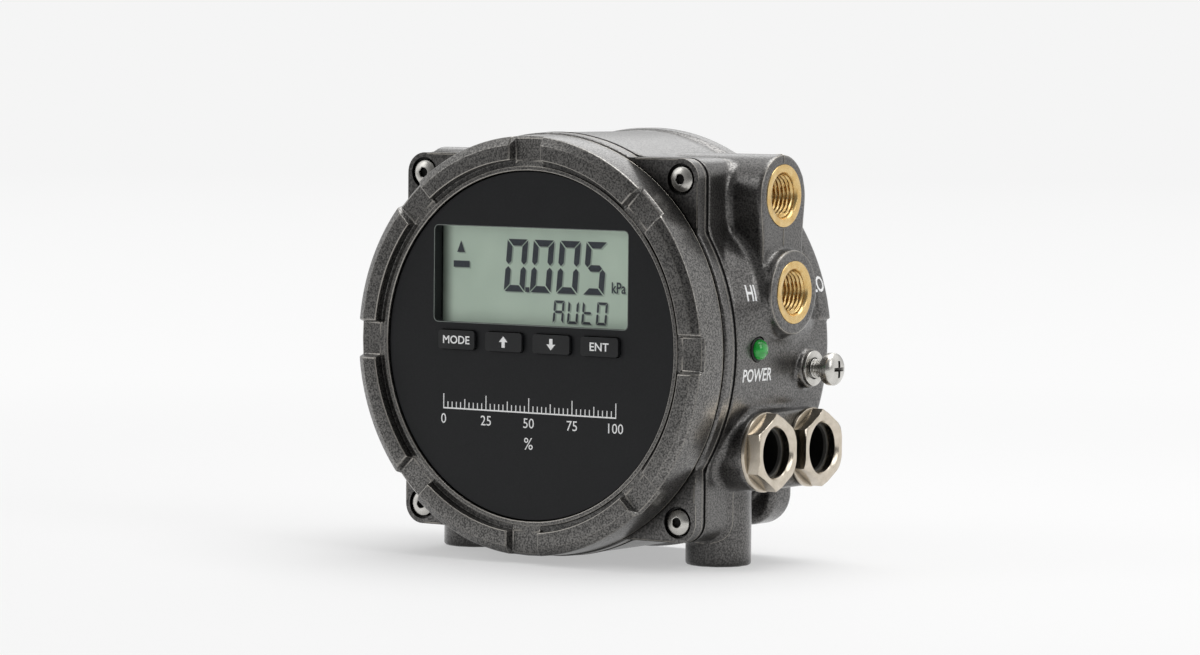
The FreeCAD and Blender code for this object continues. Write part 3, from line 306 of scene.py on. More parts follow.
def moulded(name, dark, light, grain_size, roughness, depth=0.012, shine=0.5):
    """Moulded plastic or rubber: an even colour with a fine spark-eroded grain."""
    material, tree, shader, coords = finish(name, Specular_IOR_Level=shine)
    grain = noise(tree, coords, grain_size)
    gloss = noise(tree, coords, 9.0, 2.0)
    feed(tree, shader, {
        "Base Color": ramp(tree, grain, (0.3, dark), (0.7, light)),
        "Roughness": ramp(tree, gloss, (0.3, roughness * 0.9), (0.7, roughness * 1.1)),
        "Normal": relief(tree, grain, depth),
    })
    return material


def clear_sheet(name):
    """Clear polycarbonate: seen through, with a mirror sheen that grows towards grazing angles."""
    material, tree, shader, coords = finish(name, Metallic=1.0, Base_Color=colour("#fafcfa"))
    feed(tree, shader, {
        "Roughness": ramp(tree, noise(tree, coords, 20.0, 2.0), (0.3, 0.03), (0.7, 0.06)),
        "Alpha": add(tree, "ShaderNodeFresnel", {"IOR": 1.35}).outputs["Fac"],
    })
    return material


def display_panel(name, dark, light, painted_glow):
    """Liquid crystal panel: grey-green, a little cloudy, with a faint painted glow and a painted shadow of
    the window's edge at its left end.
    """
    material, tree, shader, coords = finish(name, Emission_Strength=painted_glow)
    cloud = noise(tree, coords, 16.0, 2.0)
    across = add(tree, "ShaderNodeSeparateXYZ", {"Vector": coords}).outputs["X"]
    start, end = PANEL_SHADE
    # Painted shadow of the window's left edge, darkest at the panel's left end.
    window_edge_shadow = eased(tree, across, start * MM, end * MM, 0.16)
    shown = blend(tree, ramp(tree, cloud, (0.3, dark), (0.7, light)), window_edge_shadow)
    gloss = ramp(tree, cloud, (0.3, 0.40), (0.7, 0.48))
    feed(tree, shader, {"Base Color": shown, "Emission Color": shown, "Roughness": gloss})
    return material


def lamp_plastic(name):
    """Tinted diffused lens, lit from behind."""
    material, tree, shader, coords = finish(
        name, Coat_Weight=0.6, Coat_Roughness=0.08, Roughness=0.18,
        Emission_Color=colour("#12a834"), Emission_Strength=0.10)
    tint = ramp(tree, noise(tree, coords, 1.6, 2.0), (0.3, "#0a7a26"), (0.7, "#189a38"))
    feed(tree, shader, {"Base Color": tint})
    return material


def board_laminate(name):
    """Circuit board: green solder mask over faint copper tracks."""
    material, tree, shader, coords = finish(name, Roughness=0.35)
    tracks = add(tree, "ShaderNodeTexBrick", {
        "Vector": coords, "Scale": 1.0 / (6.0 * MM), "Color1": colour("#1d5a38"),
        "Color2": colour("#22643f"), "Mortar": colour("#3b8a58")})
    feed(tree, shader, {"Base Color": tracks.outputs["Color"]})
    return material


# The last number is how strongly convex edges are lightened, as rubbed coat and painted highlight; more on
# the ring.
COAT = powder_coat("powder_coated_casting", "#3f3e3d", "#757371", 0.4)
RING_COAT = powder_coat("ring_coat_worn_and_highlit_edges", "#403f3e", "#84827f", 0.8)
# Pale metal for thin lines along edges and the mould seam: rubbed coat and painted highlight.
WORN_EDGE_HIGHLIGHT = turned_metal("rubbed_and_highlit_casting_edge", "#96928b", "#b0aba2", 0.36)
RUBBER = moulded("nitrile_rubber", "#111213", "#191a1b", 0.5, 0.55)
# Matt black for the joint bead: gasket rubber and painted shade of the joint.
GASKET_AND_JOINT_SHADE = moulded("gasket_rubber_and_painted_joint_shade", "#050505", "#090909", 0.5, 0.8, 0.012, 0.08)
STAINLESS = turned_metal("turned_stainless_steel", "#c2c0bb", "#d9d7d2", 0.26)
ZINC = turned_metal("zinc_plated_steel", "#a9aaac", "#c2c4c8", 0.32)
FASCIA = moulded("textured_black_polycarbonate", "#141517", "#1a1b1d", 0.35, 0.45, 0.008, 0.28)
KEY_RUBBER = moulded("black_keypad_rubber", "#121314", "#191a1c", 0.4, 0.33, 0.008, 0.5)
INK = moulded("white_screen_print", "#f0f1f1", "#fafafa", 0.3, 0.55, 0.004)
# Mid-grey on the black face: a painted highlight of the window's edge.
WINDOW_EDGE_HIGHLIGHT = moulded("painted_window_edge_highlight", "#6f7672", "#7d8480", 0.6, 0.22, 0.001)
LENS = clear_sheet("clear_polycarbonate")
PANEL = display_panel("liquid_crystal_panel", "#aab9ac", "#b3c1b4", 0.30)
SHADE = display_panel("shade_behind_segments", "#8b998e", "#94a297", 0.25)
SEGMENT = moulded("display_segment", "#3c404b", "#464a55", 0.6, 0.5, 0.002)
BLACK = moulded("black_nylon", "#141414", "#1c1c1c", 0.45, 0.5)
BOARD = board_laminate("circuit_board_laminate")
TERMINAL = moulded("green_terminal_nylon", "#2b7a45", "#33874e", 0.5, 0.45)
CAN = turned_metal("drawn_aluminium_can", "#b4b6b9", "#cdd0d3", 0.3)
CAPSULE = turned_metal("milled_aluminium", "#9fa1a4", "#b9bbbe", 0.34)
FILM = turned_metal("diaphragm_film", "#b0a58f", "#c6bca8", 0.28)
TUBE = moulded("silicone_tube", "#c9c6bd", "#d8d5cc", 0.8, 0.4)
BRASS = turned_metal("machined_brass", "#cfa965", "#e6cc96", 0.26, 0.7, 0.92)
NICKEL = turned_metal("nickel_plated_brass", "#c4baaa", "#d9cfc0", 0.22, 0.12, 1.0, 9.0)
SEAL_RUBBER = moulded("grey_seal_rubber", "#383837", "#41413f", 0.5, 0.45)
# Near-black painted shade for the inside of the cable-entry bores and the screw sockets.
RECESS_SHADE_BLACK = moulded("painted_shade_in_bores_and_sockets", "#0b0b0b", "#121211", 0.5, 0.50, 0.012, 0.3)
LAMP_GREEN = lamp_plastic("green_lamp_lens")


# Meshes and pieces


def linked(name, data):
    """A new object in the scene."""
    made = bpy.data.objects.new(name, data)
    bpy.context.scene.collection.objects.link(made)
    return made


def discard(piece):
    """Removes an object with its mesh."""
    mesh = piece.data
    bpy.data.objects.remove(piece)
    bpy.data.meshes.remove(mesh)


def dressed(piece, *materials):
    """The piece with these materials in its slots."""
    piece.data.materials.clear()
    for material in materials:
        piece.data.materials.append(material)
    return piece


def new_piece(name, points, faces, material):
    """A piece in metres from points in millimetres, with shared points merged and faces outwards."""
    mesh = bpy.data.meshes.new(name)
    mesh.from_pydata((np.asarray(points) * MM).tolist(), [], [list(f) for f in faces])
    work = bmesh.new()
    work.from_mesh(mesh)
    bmesh.ops.remove_doubles(work, verts=work.verts, dist=TINY)
    bmesh.ops.dissolve_degenerate(work, edges=work.edges, dist=TINY)
    bmesh.ops.recalc_face_normals(work, faces=work.faces)
    work.to_mesh(mesh)
    work.free()
    return dressed(linked(name, mesh), material)


def shaded(piece, sharp_angle):
    """The piece smooth, but for edges sharper than that angle in degrees."""
    piece.data.shade_smooth()
    piece.data.set_sharp_from_angle(angle=math.radians(sharp_angle))
    return piece


def settle(piece, body, slot, *nodes):
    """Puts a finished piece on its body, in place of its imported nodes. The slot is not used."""
    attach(piece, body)
    if nodes:
        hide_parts(*nodes)


def evaluated(holder):
    """The mesh that an object shows, with its modifiers."""
    bpy.context.view_layer.update()
    graph = bpy.context.evaluated_depsgraph_get()
    return bpy.data.meshes.new_from_object(holder.evaluated_get(graph))


def applied(piece):
    """The piece with its modifiers made part of its mesh."""
    mesh, old = evaluated(piece), piece.data
    piece.modifiers.clear()
    piece.data = mesh
    bpy.data.meshes.remove(old)
    return piece


def combine(piece, other, operation="DIFFERENCE"):
    """The solid sum or difference of two closed meshes. The other one is used up."""
    step = piece.modifiers.new("combine", "BOOLEAN")
    step.operation = operation
    step.solver = "MANIFOLD"
    step.object = other
    applied(piece)
    discard(other)


def edge_lines(mesh, reach):
    """Stores how far each point stands out from its neighbours: 1 at a convex edge of that reach, 0 on
    flats."""
    count = len(mesh.vertices)
    points = np.empty(count * 3, np.float32)
    normals = np.empty(count * 3, np.float32)
    mesh.vertices.foreach_get("co", points)
    mesh.vertex_normals.foreach_get("vector", normals)
    points, normals = points.reshape(-1, 3), normals.reshape(-1, 3)
    ends = np.empty(len(mesh.edges) * 2, np.int32)
    mesh.edges.foreach_get("vertices", ends)
    first, second = ends.reshape(-1, 2).T
    step = points[second] - points[first]
    length = np.maximum((step ** 2).sum(1), 1e-12)
    total, weight = np.zeros(count), np.zeros(count)
    for here, away in ((first, -step), (second, step)):
        np.add.at(total, here, (normals[here] * away).sum(1) / length)
        np.add.at(weight, here, 1.0)
    bend = total / np.maximum(weight, 1.0) * reach * MM
    layer = mesh.attributes.new("edge", "FLOAT", "POINT")
    layer.data.foreach_set("value", np.clip(bend, 0.0, 1.0).astype(np.float32))


# Cast shapes as distance fields


def cornered(a, b, corner):
    """What lies inside both of two shapes, with the edge between them rounded."""
    a, b = a + corner, b + corner
    return np.hypot(np.maximum(a, 0), np.maximum(b, 0)) + np.minimum(np.maximum(a, b), 0) - corner


def rounded_rectangle(across, up, half, corner):
    return cornered(np.abs(across) - half[0], np.abs(up) - half[1], corner)


def prism(flat, along, low, high, edge):
    """A flat shape drawn out from low to high, with its end edges rounded."""
    return cornered(flat, np.abs(along - (low + high) / 2) - (high - low) / 2, edge)


def filleted(a, b, radius):
    """Two shapes joined with a fillet of that radius in the corner."""
    rounding = np.hypot(np.maximum(radius - a, 0), np.maximum(radius - b, 0))
    return np.maximum(radius, np.minimum(a, b)) - rounding


def smooth_step(value, low, high):
    t = np.clip((value - low) / (high - low), 0.0, 1.0)
    return t * t * (3 - 2 * t)


def housing_field(x, forward, up):
    """Distance to the outside of the housing casting, its holes left out."""
    round_about = np.hypot(x, up)
    from_port = np.hypot(forward - PORT_FORWARD, up - LOWER_PORT[2])
    swell = np.clip(1.0 - (from_port - LOWER_BOSS_RADIUS) / SWELL_REACH, 0.0, 1.0)
    swell = SWELL_HEIGHT * swell * smooth_step(up, 0.0, 12.0) * (x > 0)
    body = prism(round_about - DRUM_RADIUS - swell, forward, 0.0, JOINT + SPARE, REAR_ROUNDING)
    bead = prism(round_about - DRUM_RADIUS - BEAD_HEIGHT, forward, 0.0, BEAD_END, 2.4)
    low, high = BEAD_BREAK
    gap = np.maximum(np.maximum(up - high, low - up), -x)
    body = filleted(body, np.maximum(bead, -gap), 0.6)
    ears = rounded_rectangle(x, up, EAR_HALF, EAR_CORNER)
    pads = rounded_rectangle(x, up, PAD_HALF, PAD_CORNER)
    foot = np.hypot(np.abs(x) - FOOT_PLACE[0], forward - FOOT_PLACE[1]) - FOOT_RADIUS
    ports = np.clip(up, LOWER_PORT[2], UPPER_PORT[2])
    share = (up - LOWER_PORT[2]) / (UPPER_PORT[2] - LOWER_PORT[2])
    waist = WAIST * np.sin(math.pi * np.clip(share, 0.0, 1.0)) ** 2
    block = np.hypot(forward - PORT_FORWARD, up - ports) - UPPER_BOSS_RADIUS + waist
    blind = np.hypot(forward - PORT_FORWARD, up - UPPER_PORT[2]) - UPPER_BOSS_RADIUS
    entries = np.clip(forward, -REAR_GLAND[1], -FRONT_GLAND[1])
    slot = np.hypot(forward - entries, up - FRONT_GLAND[2]) - GLAND_BOSS_RADIUS
    stud = np.hypot(forward + EARTH[1], up - EARTH[2]) - EARTH_BOSS_RADIUS
    # Each shape with its axis, its two ends, the rounding of its edges and the fillet at its foot
    for shape, along, start, end, edge, fillet in (
            (ears, forward, JOINT - EAR_DEPTH, JOINT + SPARE, 1.8, 2.2),
            (pads, forward, 0.0, PAD_DEPTH, 2.5, 2.5),
            (foot, -up, 30.0, SOLE, 1.0, 2.2),
            (block, x, 30.0, UPPER_PORT_FACE, 1.0, 2.4),
            (from_port - LOWER_BOSS_RADIUS, x, 40.0, LOWER_PORT_FACE, 0.9, 1.3),
            (blind, x, LEFT_BOSS_FACE, -30.0, 1.5, 3.0),
            (slot, x, 40.0, GLAND_FACE, 0.9, 2.2),
            (stud, x, 40.0, EARTH_FACE, 0.7, 1.0)):
        body = filleted(body, prism(shape, along, start, end, edge), fillet)
    lip = np.clip((forward - JOINT) / FRONT_ROUNDING + 1.0, 0.0, 1.0)
    body = body + FRONT_ROUNDING * (1.0 - np.cos(lip * math.pi / 2))
    return np.maximum(body, -forward)


CELL_CORNERS = [(i, j, k) for i in (0, 1) for j in (0, 1) for k in (0, 1)]
CELL_EDGES = [(a, b) for a in range(8) for b in range(a) if bin(a ^ b).count("1") == 1]


def polygonised(field, low, high, step):
    """The zero surface of a distance field as quads: one point in each grid cell that the surface crosses,
    drawn onto the surface and evened out along it."""
    axes = [np.arange(a, b + step, step) for a, b in zip(low, high)]
    value = field(axes[0][:, None, None], axes[1][None, :, None], axes[2][None, None, :])
    inside = value < 0
    shape = np.array(value.shape) - 1
    count = np.zeros(shape, np.int8)
    for i, j, k in CELL_CORNERS:
        count += inside[i:i + shape[0], j:j + shape[1], k:k + shape[2]]
    cells = np.argwhere((count > 0) & (count < 8))
    index = np.full(shape, -1, np.int64)
    index[tuple(cells.T)] = np.arange(len(cells))
    at = [value[tuple((cells + c).T)] for c in CELL_CORNERS]
    total, hits = np.zeros((len(cells), 3)), np.zeros(len(cells))
    for a, b in CELL_EDGES:
        crossed = (at[a] < 0) != (at[b] < 0)
        share = np.where(crossed, at[a] / np.where(crossed, at[a] - at[b], 1.0), 0.0)
        start, end = np.array(CELL_CORNERS[a]), np.array(CELL_CORNERS[b])
        total += crossed[:, None] * (start + share[:, None] * (end - start))
        hits += crossed
    points = np.array(low) + (cells + total / hits[:, None]) * step
    quads = []
    for axis in range(3):
        one, two = (axis + 1) % 3, (axis + 2) % 3
        spots = np.argwhere(np.diff(inside.astype(np.int8), axis=axis) != 0)
        spots = spots[(spots[:, one] > 0) & (spots[:, two] > 0)]
        spots = spots[(spots[:, one] < shape[one]) & (spots[:, two] < shape[two])]
        flips = inside[tuple(spots.T)]
        ring = []
        for back_one, back_two in ((1, 1), (0, 1), (0, 0), (1, 0)):
            cell = spots.copy()
            cell[:, one] -= back_one
            cell[:, two] -= back_two
            ring.append(index[tuple(cell.T)])
        ring = np.stack(ring, 1)
        ring[~flips] = ring[~flips][:, ::-1]
        quads.append(ring)
    quads = np.concatenate(quads)
    for _ in range(3):
        points = evened(drawn_on(field, points), quads)
    return drawn_on(field, points), quads


def gradient(field, points):
    small = 0.02
    slopes = []
    for axis in range(3):
        ahead, behind = points.copy(), points.copy()
        ahead[:, axis] += small
        behind[:, axis] -= small
        slopes.append((field(*ahead.T) - field(*behind.T)) / (2 * small))
    return np.stack(slopes, 1)


def drawn_on(field, points):
    """Points moved down the slope onto the surface."""
    for _ in range(2):
        slope = gradient(field, points)
        square = np.maximum((slope ** 2).sum(1), 0.2)
        points = points - slope * (field(*points.T) / square)[:, None]
    return points


def evened(points, quads):
    """Points moved halfway to the mean of their neighbours."""
    total, weight = np.zeros_like(points), np.zeros(len(points))
    for a, b in ((0, 1), (1, 2), (2, 3), (3, 0)):
        for here, there in ((a, b), (b, a)):
            np.add.at(total, quads[:, here], points[quads[:, there]])
            np.add.at(weight, quads[:, here], 1.0)
    return points + 0.5 * (total / weight[:, None] - points)


# Turned shapes


def lattice(lines, count, closed=True):
    """Quads between neighbouring closed lines of so many points each."""
    faces = []
    for line in range(lines if closed else lines - 1):
        here, there = line * count, (line + 1) % lines * count
        for i in range(count):
            j = (i + 1) % count
            faces.append((here + i, here + j, there + j, there + i))
    return faces


def turned(name, rows, steps, place, material, closed=True):
    """Rows of (height, radius) round an axis. A radius may be a function of the angle. place maps height
    and the two sideways distances to a point. A closed profile comes back to its first row."""
    angle = np.arange(steps) * (FULL_TURN / steps)
    points = []
    for height, radius in rows:
        reach = radius(angle) if callable(radius) else np.full(steps, float(radius))
        points.append(place(np.full(steps, float(height)), reach * np.sin(angle), reach * np.cos(angle)))
    return new_piece(name, np.concatenate(points), lattice(len(rows), steps, closed), material)


def out_of_side(spot):
    """Places a turned shape on an axis along X through a spot. Heights are X."""
    return lambda height, side, rise: np.stack([height, side + spot[1], rise + spot[2]], 1)


def out_of_front(x, up):
    """Places a turned shape on an axis towards the front. Heights are forward."""
    return lambda height, side, rise: np.stack([side + x, -height, rise + up], 1)


def thread_rows(start, end, root, crest, pitch):
    """Rows of a helical thread from start to end, fading out at both ends."""
    rows = []
    count = int(abs(end - start) / pitch * 10)
    for i in range(count + 1):
        height = start + (end - start) * i / count
        fade = min(1.0, abs(height - start) / (0.6 * pitch), abs(height - end) / (0.6 * pitch))

        def radius(angle, height=height, fade=fade):
            wave = np.abs(((height / pitch + angle / FULL_TURN) % 1.0) * 2 - 1)
            return root + (crest - root) * fade * np.clip(wave * 1.7 - 0.35, 0, 1)

        rows.append((height, radius))
    return rows


def domed_rows(base, top, reach, flat=0.0):
    """Rows of a quarter round from a straight side up to a top with a flat of that radius."""
    turns = [math.radians(90 * step / 8) for step in range(1, 9)]
    return [(base + (top - base) * math.sin(t), flat + reach * math.cos(t)) for t in turns]


def hexagon(flat, wider=0.0):
    """The radius at each angle of a hexagon with its flats that far out."""
    return lambda angle: flat / np.cos(angle % (math.pi / 3) - math.pi / 6) + wider


def rounded_profile(corner_list, arc_steps=4):
    """A closed profile with each corner (x, y, radius) rounded by an arc."""
    count = len(corner_list)
    made = []
    for i, (x, y, radius) in enumerate(corner_list):
        here = np.array((x, y))
        back = np.array(corner_list[i - 1][:2]) - here
        ahead = np.array(corner_list[(i + 1) % count][:2]) - here
        back, ahead = back / np.linalg.norm(back), ahead / np.linalg.norm(ahead)
        half = math.acos(max(-1.0, min(1.0, back @ ahead))) / 2
        run = radius / math.tan(half)
        start, end = here + back * run, here + ahead * run
        for step in range(arc_steps + 1):
            t = step / arc_steps
            made.append((1 - t) ** 2 * start + 2 * t * (1 - t) * here + t ** 2 * end)
    return made


def cylinder(low, high, radius, place, steps=64):
    rows = [(low, 0), (low, radius), (high, radius), (high, 0)]
    return turned("cutter", rows, steps, place, RUBBER, False)


def joined(pieces):
    """Several closed meshes that don't touch, as one."""
    work = bmesh.new()
    for piece in pieces:
        work.from_mesh(piece.data)
    mesh = bpy.data.meshes.new("cutters")
    work.to_mesh(mesh)
    work.free()
    for piece in pieces:
        discard(piece)
    return dressed(linked("cutters", mesh), RUBBER)


def four(place):
    return [(place[0] * sx, place[1] * sy) for sx in (-1, 1) for sy in (-1, 1)]


def make_housing():
    """The housing casting, with the cavity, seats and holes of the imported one."""
    low, high = (-70.0, -3.0, -70.0), (74.0, JOINT + SPARE + 3.0, 70.0)
    points, quads = polygonised(housing_field, low, high, GRID)
    piece = new_piece("housing_casting", points * (1, -1, 1), quads, COAT)
    axis = out_of_front(0, 0)
    upper, lower, earth, lamp, *glands = [
        out_of_side(spot) for spot in (UPPER_PORT, LOWER_PORT, EARTH, LAMP, FRONT_GLAND, REAR_GLAND)]
    combine(piece, cylinder(JOINT, JOINT + 20, 110.0, axis))
    combine(piece, cylinder(REAR_FLOOR, JOINT + 1, DRUM_RADIUS - DRUM_WALL, axis, 192))
    studs = [cylinder(REAR_FLOOR - 1, STUD_TOP, STUD_RADIUS, out_of_front(*p), 32) for p in four(STUD_PLACE)]
    studs.append(cylinder(*EARTH_BACKING, EARTH_BOSS_RADIUS, earth, 32))
    combine(piece, joined(studs), "UNION")
    upper_seat, lower_seat = UPPER_PORT_FACE - INSERT_LENGTH, LOWER_PORT_FACE - INSERT_LENGTH
    holes = [
        cylinder(upper_seat, OUTSIDE, INSERT_RADIUS + FIT, upper, 96),
        cylinder(lower_seat, OUTSIDE, INSERT_RADIUS + FIT, lower, 96),
        cylinder(EARTH_FACE - EARTH_TAP_DEPTH, OUTSIDE, EARTH_TAP_RADIUS, earth),
        cylinder(50, OUTSIDE, LAMP_RADIUS + FIT, lamp),
    ]
    holes += [cylinder(49.0, OUTSIDE, GLAND_HOLE_RADIUS, place, 96) for place in glands]
    for places, start, end, radius, steps in (
            (STUD_PLACE, STUD_TOP - 6.0, STUD_TOP + 1.0, 1.3, 24),
            (SCREW_PLACE, JOINT - 10, JOINT + 5, 2.0, 24),
            (MOUNT_PLACE, -1.0, 9.0, 2.1, 32)):
        holes += [cylinder(start, end, radius, out_of_front(*p), steps) for p in four(places)]
    combine(piece, joined(holes))
    combine(piece, joined([
        cylinder(40, upper_seat + 1, PASSAGE_RADIUS, upper, 32),
        cylinder(50, lower_seat + 1, PASSAGE_RADIUS, lower, 32),
        cylinder(LAMP_SEAT, OUTSIDE, LAMP_RIM + 0.25, lamp),
    ]))
    shaded(piece, 50)
    edge_lines(piece.data, 1.6)
    settle(piece, "case", "casting", "housing")


def make_bezel_ring():
    """Lands between eight spanner notches, a groove inside them and a lip round the opening. The section
    runs round twice, as a land and as a notch, and each point moves between the two across a notch wall."""
    under, groove, lip, floor = (RING_FRONT - drop for drop in (6.3, 3.2, 2.4, NOTCH_DEPTH))
    shared_start = [(RING_BORE, RING_REAR, 0.3), (RING_OUTER, RING_REAR, 0.9)]
    shared_end = [
        (LIP_OUTER, lip, 0.15), (RING_OPENING, lip, 0.45),
        (RING_OPENING, under, 0.2), (RING_BORE, under, 0.2),
    ]
    land = np.array(rounded_profile(shared_start + [
        (RING_OUTER - 0.5, RING_FRONT - 1.4, 0.9), (RING_OUTER - 3.0, RING_FRONT, 0.9),
        (GROOVE_OUTER, RING_FRONT, 0.4), (GROOVE_OUTER - 0.1, groove, 0.3), (LIP_OUTER, groove, 0.2),
    ] + shared_end))
    notch = np.array(rounded_profile(shared_start + [
        (RING_OUTER - 0.4, floor - 0.9, 0.5), (RING_OUTER - 1.1, floor, 0.5),
        (GROOVE_OUTER, floor, 0.2), (GROOVE_OUTER - 0.9, floor - 0.02, 0.2), (LIP_OUTER, floor, 0.1),
    ] + shared_end))
    wall = rounded_profile([
        (0.0, 0.0, 0.0), (NOTCH_HALF - 0.45, 0.0, 0.6), (NOTCH_HALF + 0.25, NOTCH_DEPTH, 0.7),
        (WALL_REACH, NOTCH_DEPTH, 0.0), (WALL_REACH, -9.0, 0.0), (0.0, -9.0, 0.0),
    ], 5)
    wall = sorted({(round(float(w), 4), round(float(r), 4)) for w, r in wall if r > -1.0})
    land_steps = 14
    half = [(w, r / NOTCH_DEPTH, None) for w, r in wall]
    half += [(None, 1.0, t / land_steps) for t in range(1, land_steps + 1)]
    sector = [(*spot, -1) for spot in half[-2:0:-1]] + [(*spot, 1) for spot in half]
    span = math.pi / NOTCHES
    columns = []
    for k in range(NOTCHES):
        for w, rise, t, side in sector:
            spot = notch + (land - notch) * rise
            if w is None:
                edge = np.arcsin(WALL_REACH / spot[:, 0])
                turn = edge + (span - edge) * t
            else:
                turn = np.arcsin(w / spot[:, 0])
            turn = 2 * span * k + side * turn
            columns.append(np.stack([
                spot[:, 0] * np.cos(turn), -spot[:, 1], spot[:, 0] * np.sin(turn)], 1))
    faces = lattice(len(columns), len(land))
    piece = shaded(new_piece("bezel_ring_casting", np.concatenate(columns), faces, RING_COAT), 60)
    edge_lines(piece.data, 1.1)
    settle(piece, "bezel_ring", "casting", "bezel_ring")


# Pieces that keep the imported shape, with their edges broken


def softened(node, width, material, body, slot, segments=3):
    """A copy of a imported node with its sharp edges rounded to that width."""
    mesh = NODES[node].data.copy()
    mesh.name = node + "_finished"
    work = bmesh.new()
    work.from_mesh(mesh)
    bmesh.ops.remove_doubles(work, verts=work.verts, dist=2e-6)
    bmesh.ops.dissolve_limit(work, angle_limit=math.radians(0.6), verts=work.verts, edges=work.edges)
    work.to_mesh(mesh)
    work.free()
    for layer in list(mesh.attributes):
        if layer.name == "custom_normal":
            mesh.attributes.remove(layer)
    mesh.shade_smooth()
    piece = dressed(linked(node + "_finished", mesh), material)
    bevel = piece.modifiers.new("edges", "BEVEL")
    bevel.width = width * MM
    bevel.segments = segments
    bevel.limit_method = "ANGLE"
    bevel.angle_limit = math.radians(35)
    bevel.use_clamp_overlap = True
    even = piece.modifiers.new("even", "WEIGHTED_NORMAL")
    even.keep_sharp = True
    settle(applied(piece), body, slot, node)


# Brass inserts, cable entries, lamp and earth screw


def make_insert(node, face, spot):
    """Turned port insert with a tapped mouth and a hose nipple behind it."""
    end, rim = side_ends(node)
    rear, bore_end = face - INSERT_LENGTH, face - 10.0
    rows = [(end, NIPPLE_BORE), (end, NIPPLE_RADIUS - 0.2), (end + 0.3, NIPPLE_RADIUS)]
    rows += [(rear, NIPPLE_RADIUS), (rear, INSERT_RADIUS)]
    rows += [(rim - 0.30, INSERT_RADIUS), (rim - 0.08, 9.4), (rim, 9.15)]
    rows += [(rim, 7.35), (rim - 0.10, 7.2), (rim - 0.9, PORT_ROOT)]
    rows += thread_rows(rim - 0.95, bore_end + 0.4, PORT_ROOT, PORT_CREST, PORT_PITCH)
    rows += [(bore_end, 6.4), (bore_end, NIPPLE_BORE)]
    piece = turned(node + "_turned", rows, 96, out_of_side(spot), BRASS)
    settle(shaded(piece, 38), "case", "brass", node)


def make_bushing(node, spot):
    """Plated bushing: round collar, chamfered hex and a bore with a clamping ring above the seal."""
    end, top = side_ends(node)
    collar, ring = GLAND_FACE + 1.2, top - 3.6

    def chamfered(height, step):
        cone = HEX_FLAT * 1.035 + (top - height) * 1.9
        return (height, lambda angle: np.minimum(hexagon(HEX_FLAT)(angle), cone) - step)

    rows = [(end, 6.7), (end, 9.4), (end + 0.5, 9.8), (GLAND_FACE, 9.8), (GLAND_FACE, 12.0)]
    rows += [(GLAND_FACE + 0.12, 12.1), (collar - 0.3, 12.1), (collar - 0.08, 11.98), (collar, 11.7)]
    rows += [chamfered(collar + 0.02, 0.0)]
    rows += [chamfered(top - drop, 0.0) for drop in (0.85, 0.68, 0.5, 0.34, 0.2, 0.1)]
    rows += [chamfered(top - 0.03, 0.05), chamfered(top, 0.15)]
    rows += [(top, 8.6), (top - 0.06, 8.45), (top - 1.0, GLAND_BORE), (ring + 0.02, GLAND_BORE)]
    rows += [(ring, 7.5), (ring - 0.1, 7.05), (ring - 1.1, 6.95), (ring - 1.2, 7.3)]
    rows += [(ring - 1.25, GLAND_BORE), (SEAL_TOP + 0.02, GLAND_BORE), (SEAL_TOP, 7.5), (SEAL_TOP, 6.7)]
    piece = turned(node + "_turned", rows, 144, out_of_side(spot), NICKEL)
    dressed(piece, NICKEL, RECESS_SHADE_BLACK, SEAL_RUBBER)
    # The bore faces get painted shade, the clamping ring the grey seal rubber.
    for face in piece.data.polygons:
        x, y, up = face.center / MM
        inside = math.hypot(y - spot[1], up - spot[2]) < GLAND_BORE + 0.02 and x < ring + 0.03
        face.material_index = (2 if x > ring - 1.15 else 1) if inside else 0
    settle(shaded(piece, 30), "case", "nickel_brass", node)


def make_lamp():
    end, top = side_ends("lamp_lens")
    base, straight = LAMP_SEAT + 0.8, top - 2.2
    rows = [(end, 0.0), (end, 2.2), (base, 2.2), (base, LAMP_RADIUS - 0.05)]
    rows += [(base + 0.1, LAMP_RADIUS), (straight, LAMP_RADIUS)] + domed_rows(straight, top, LAMP_RADIUS)
    piece = turned("lamp_lens_dome", rows, 64, out_of_side(LAMP), LAMP_GREEN, False)
    settle(shaded(piece, 40), "case", "lamp_green", "lamp_lens")


def make_lamp_holder():
    end, top = side_ends("lamp_holder")
    rows = [(end, 2.25), (end, LAMP_RADIUS), (LAMP_SEAT, LAMP_RADIUS), (LAMP_SEAT, LAMP_RIM)]
    rows += [(top - 0.2, LAMP_RIM), (top, LAMP_RIM - 0.2), (top, 2.25)]
    piece = turned("lamp_holder_turned", rows, 64, out_of_side(LAMP), BLACK)
    settle(shaded(piece, 30), "case", "black_plastic", "lamp_holder")


def cross_cutter(top):
    """A cross recess for a driver, narrowing with depth."""
    depth, reach, width = 1.9, 2.9, 0.62
    flat = []
    for quarter in range(4):
        turn = math.radians(90 * quarter)
        for across, along in ((width, width), (width, reach), (-width, reach)):
            flat.append((across * math.cos(turn) - along * math.sin(turn),
                         across * math.sin(turn) + along * math.cos(turn)))
    points = []
    for height, size in ((top + 1.0, 1.12), (top - depth, 0.55)):
        points += [(height, a * size + EARTH[1], b * size + EARTH[2]) for a, b in flat]
    count = len(flat)
    faces = [tuple(range(count)), tuple(range(2 * count - 1, count - 1, -1))]
    return new_piece("cross", points, faces + lattice(2, count, False), RUBBER)


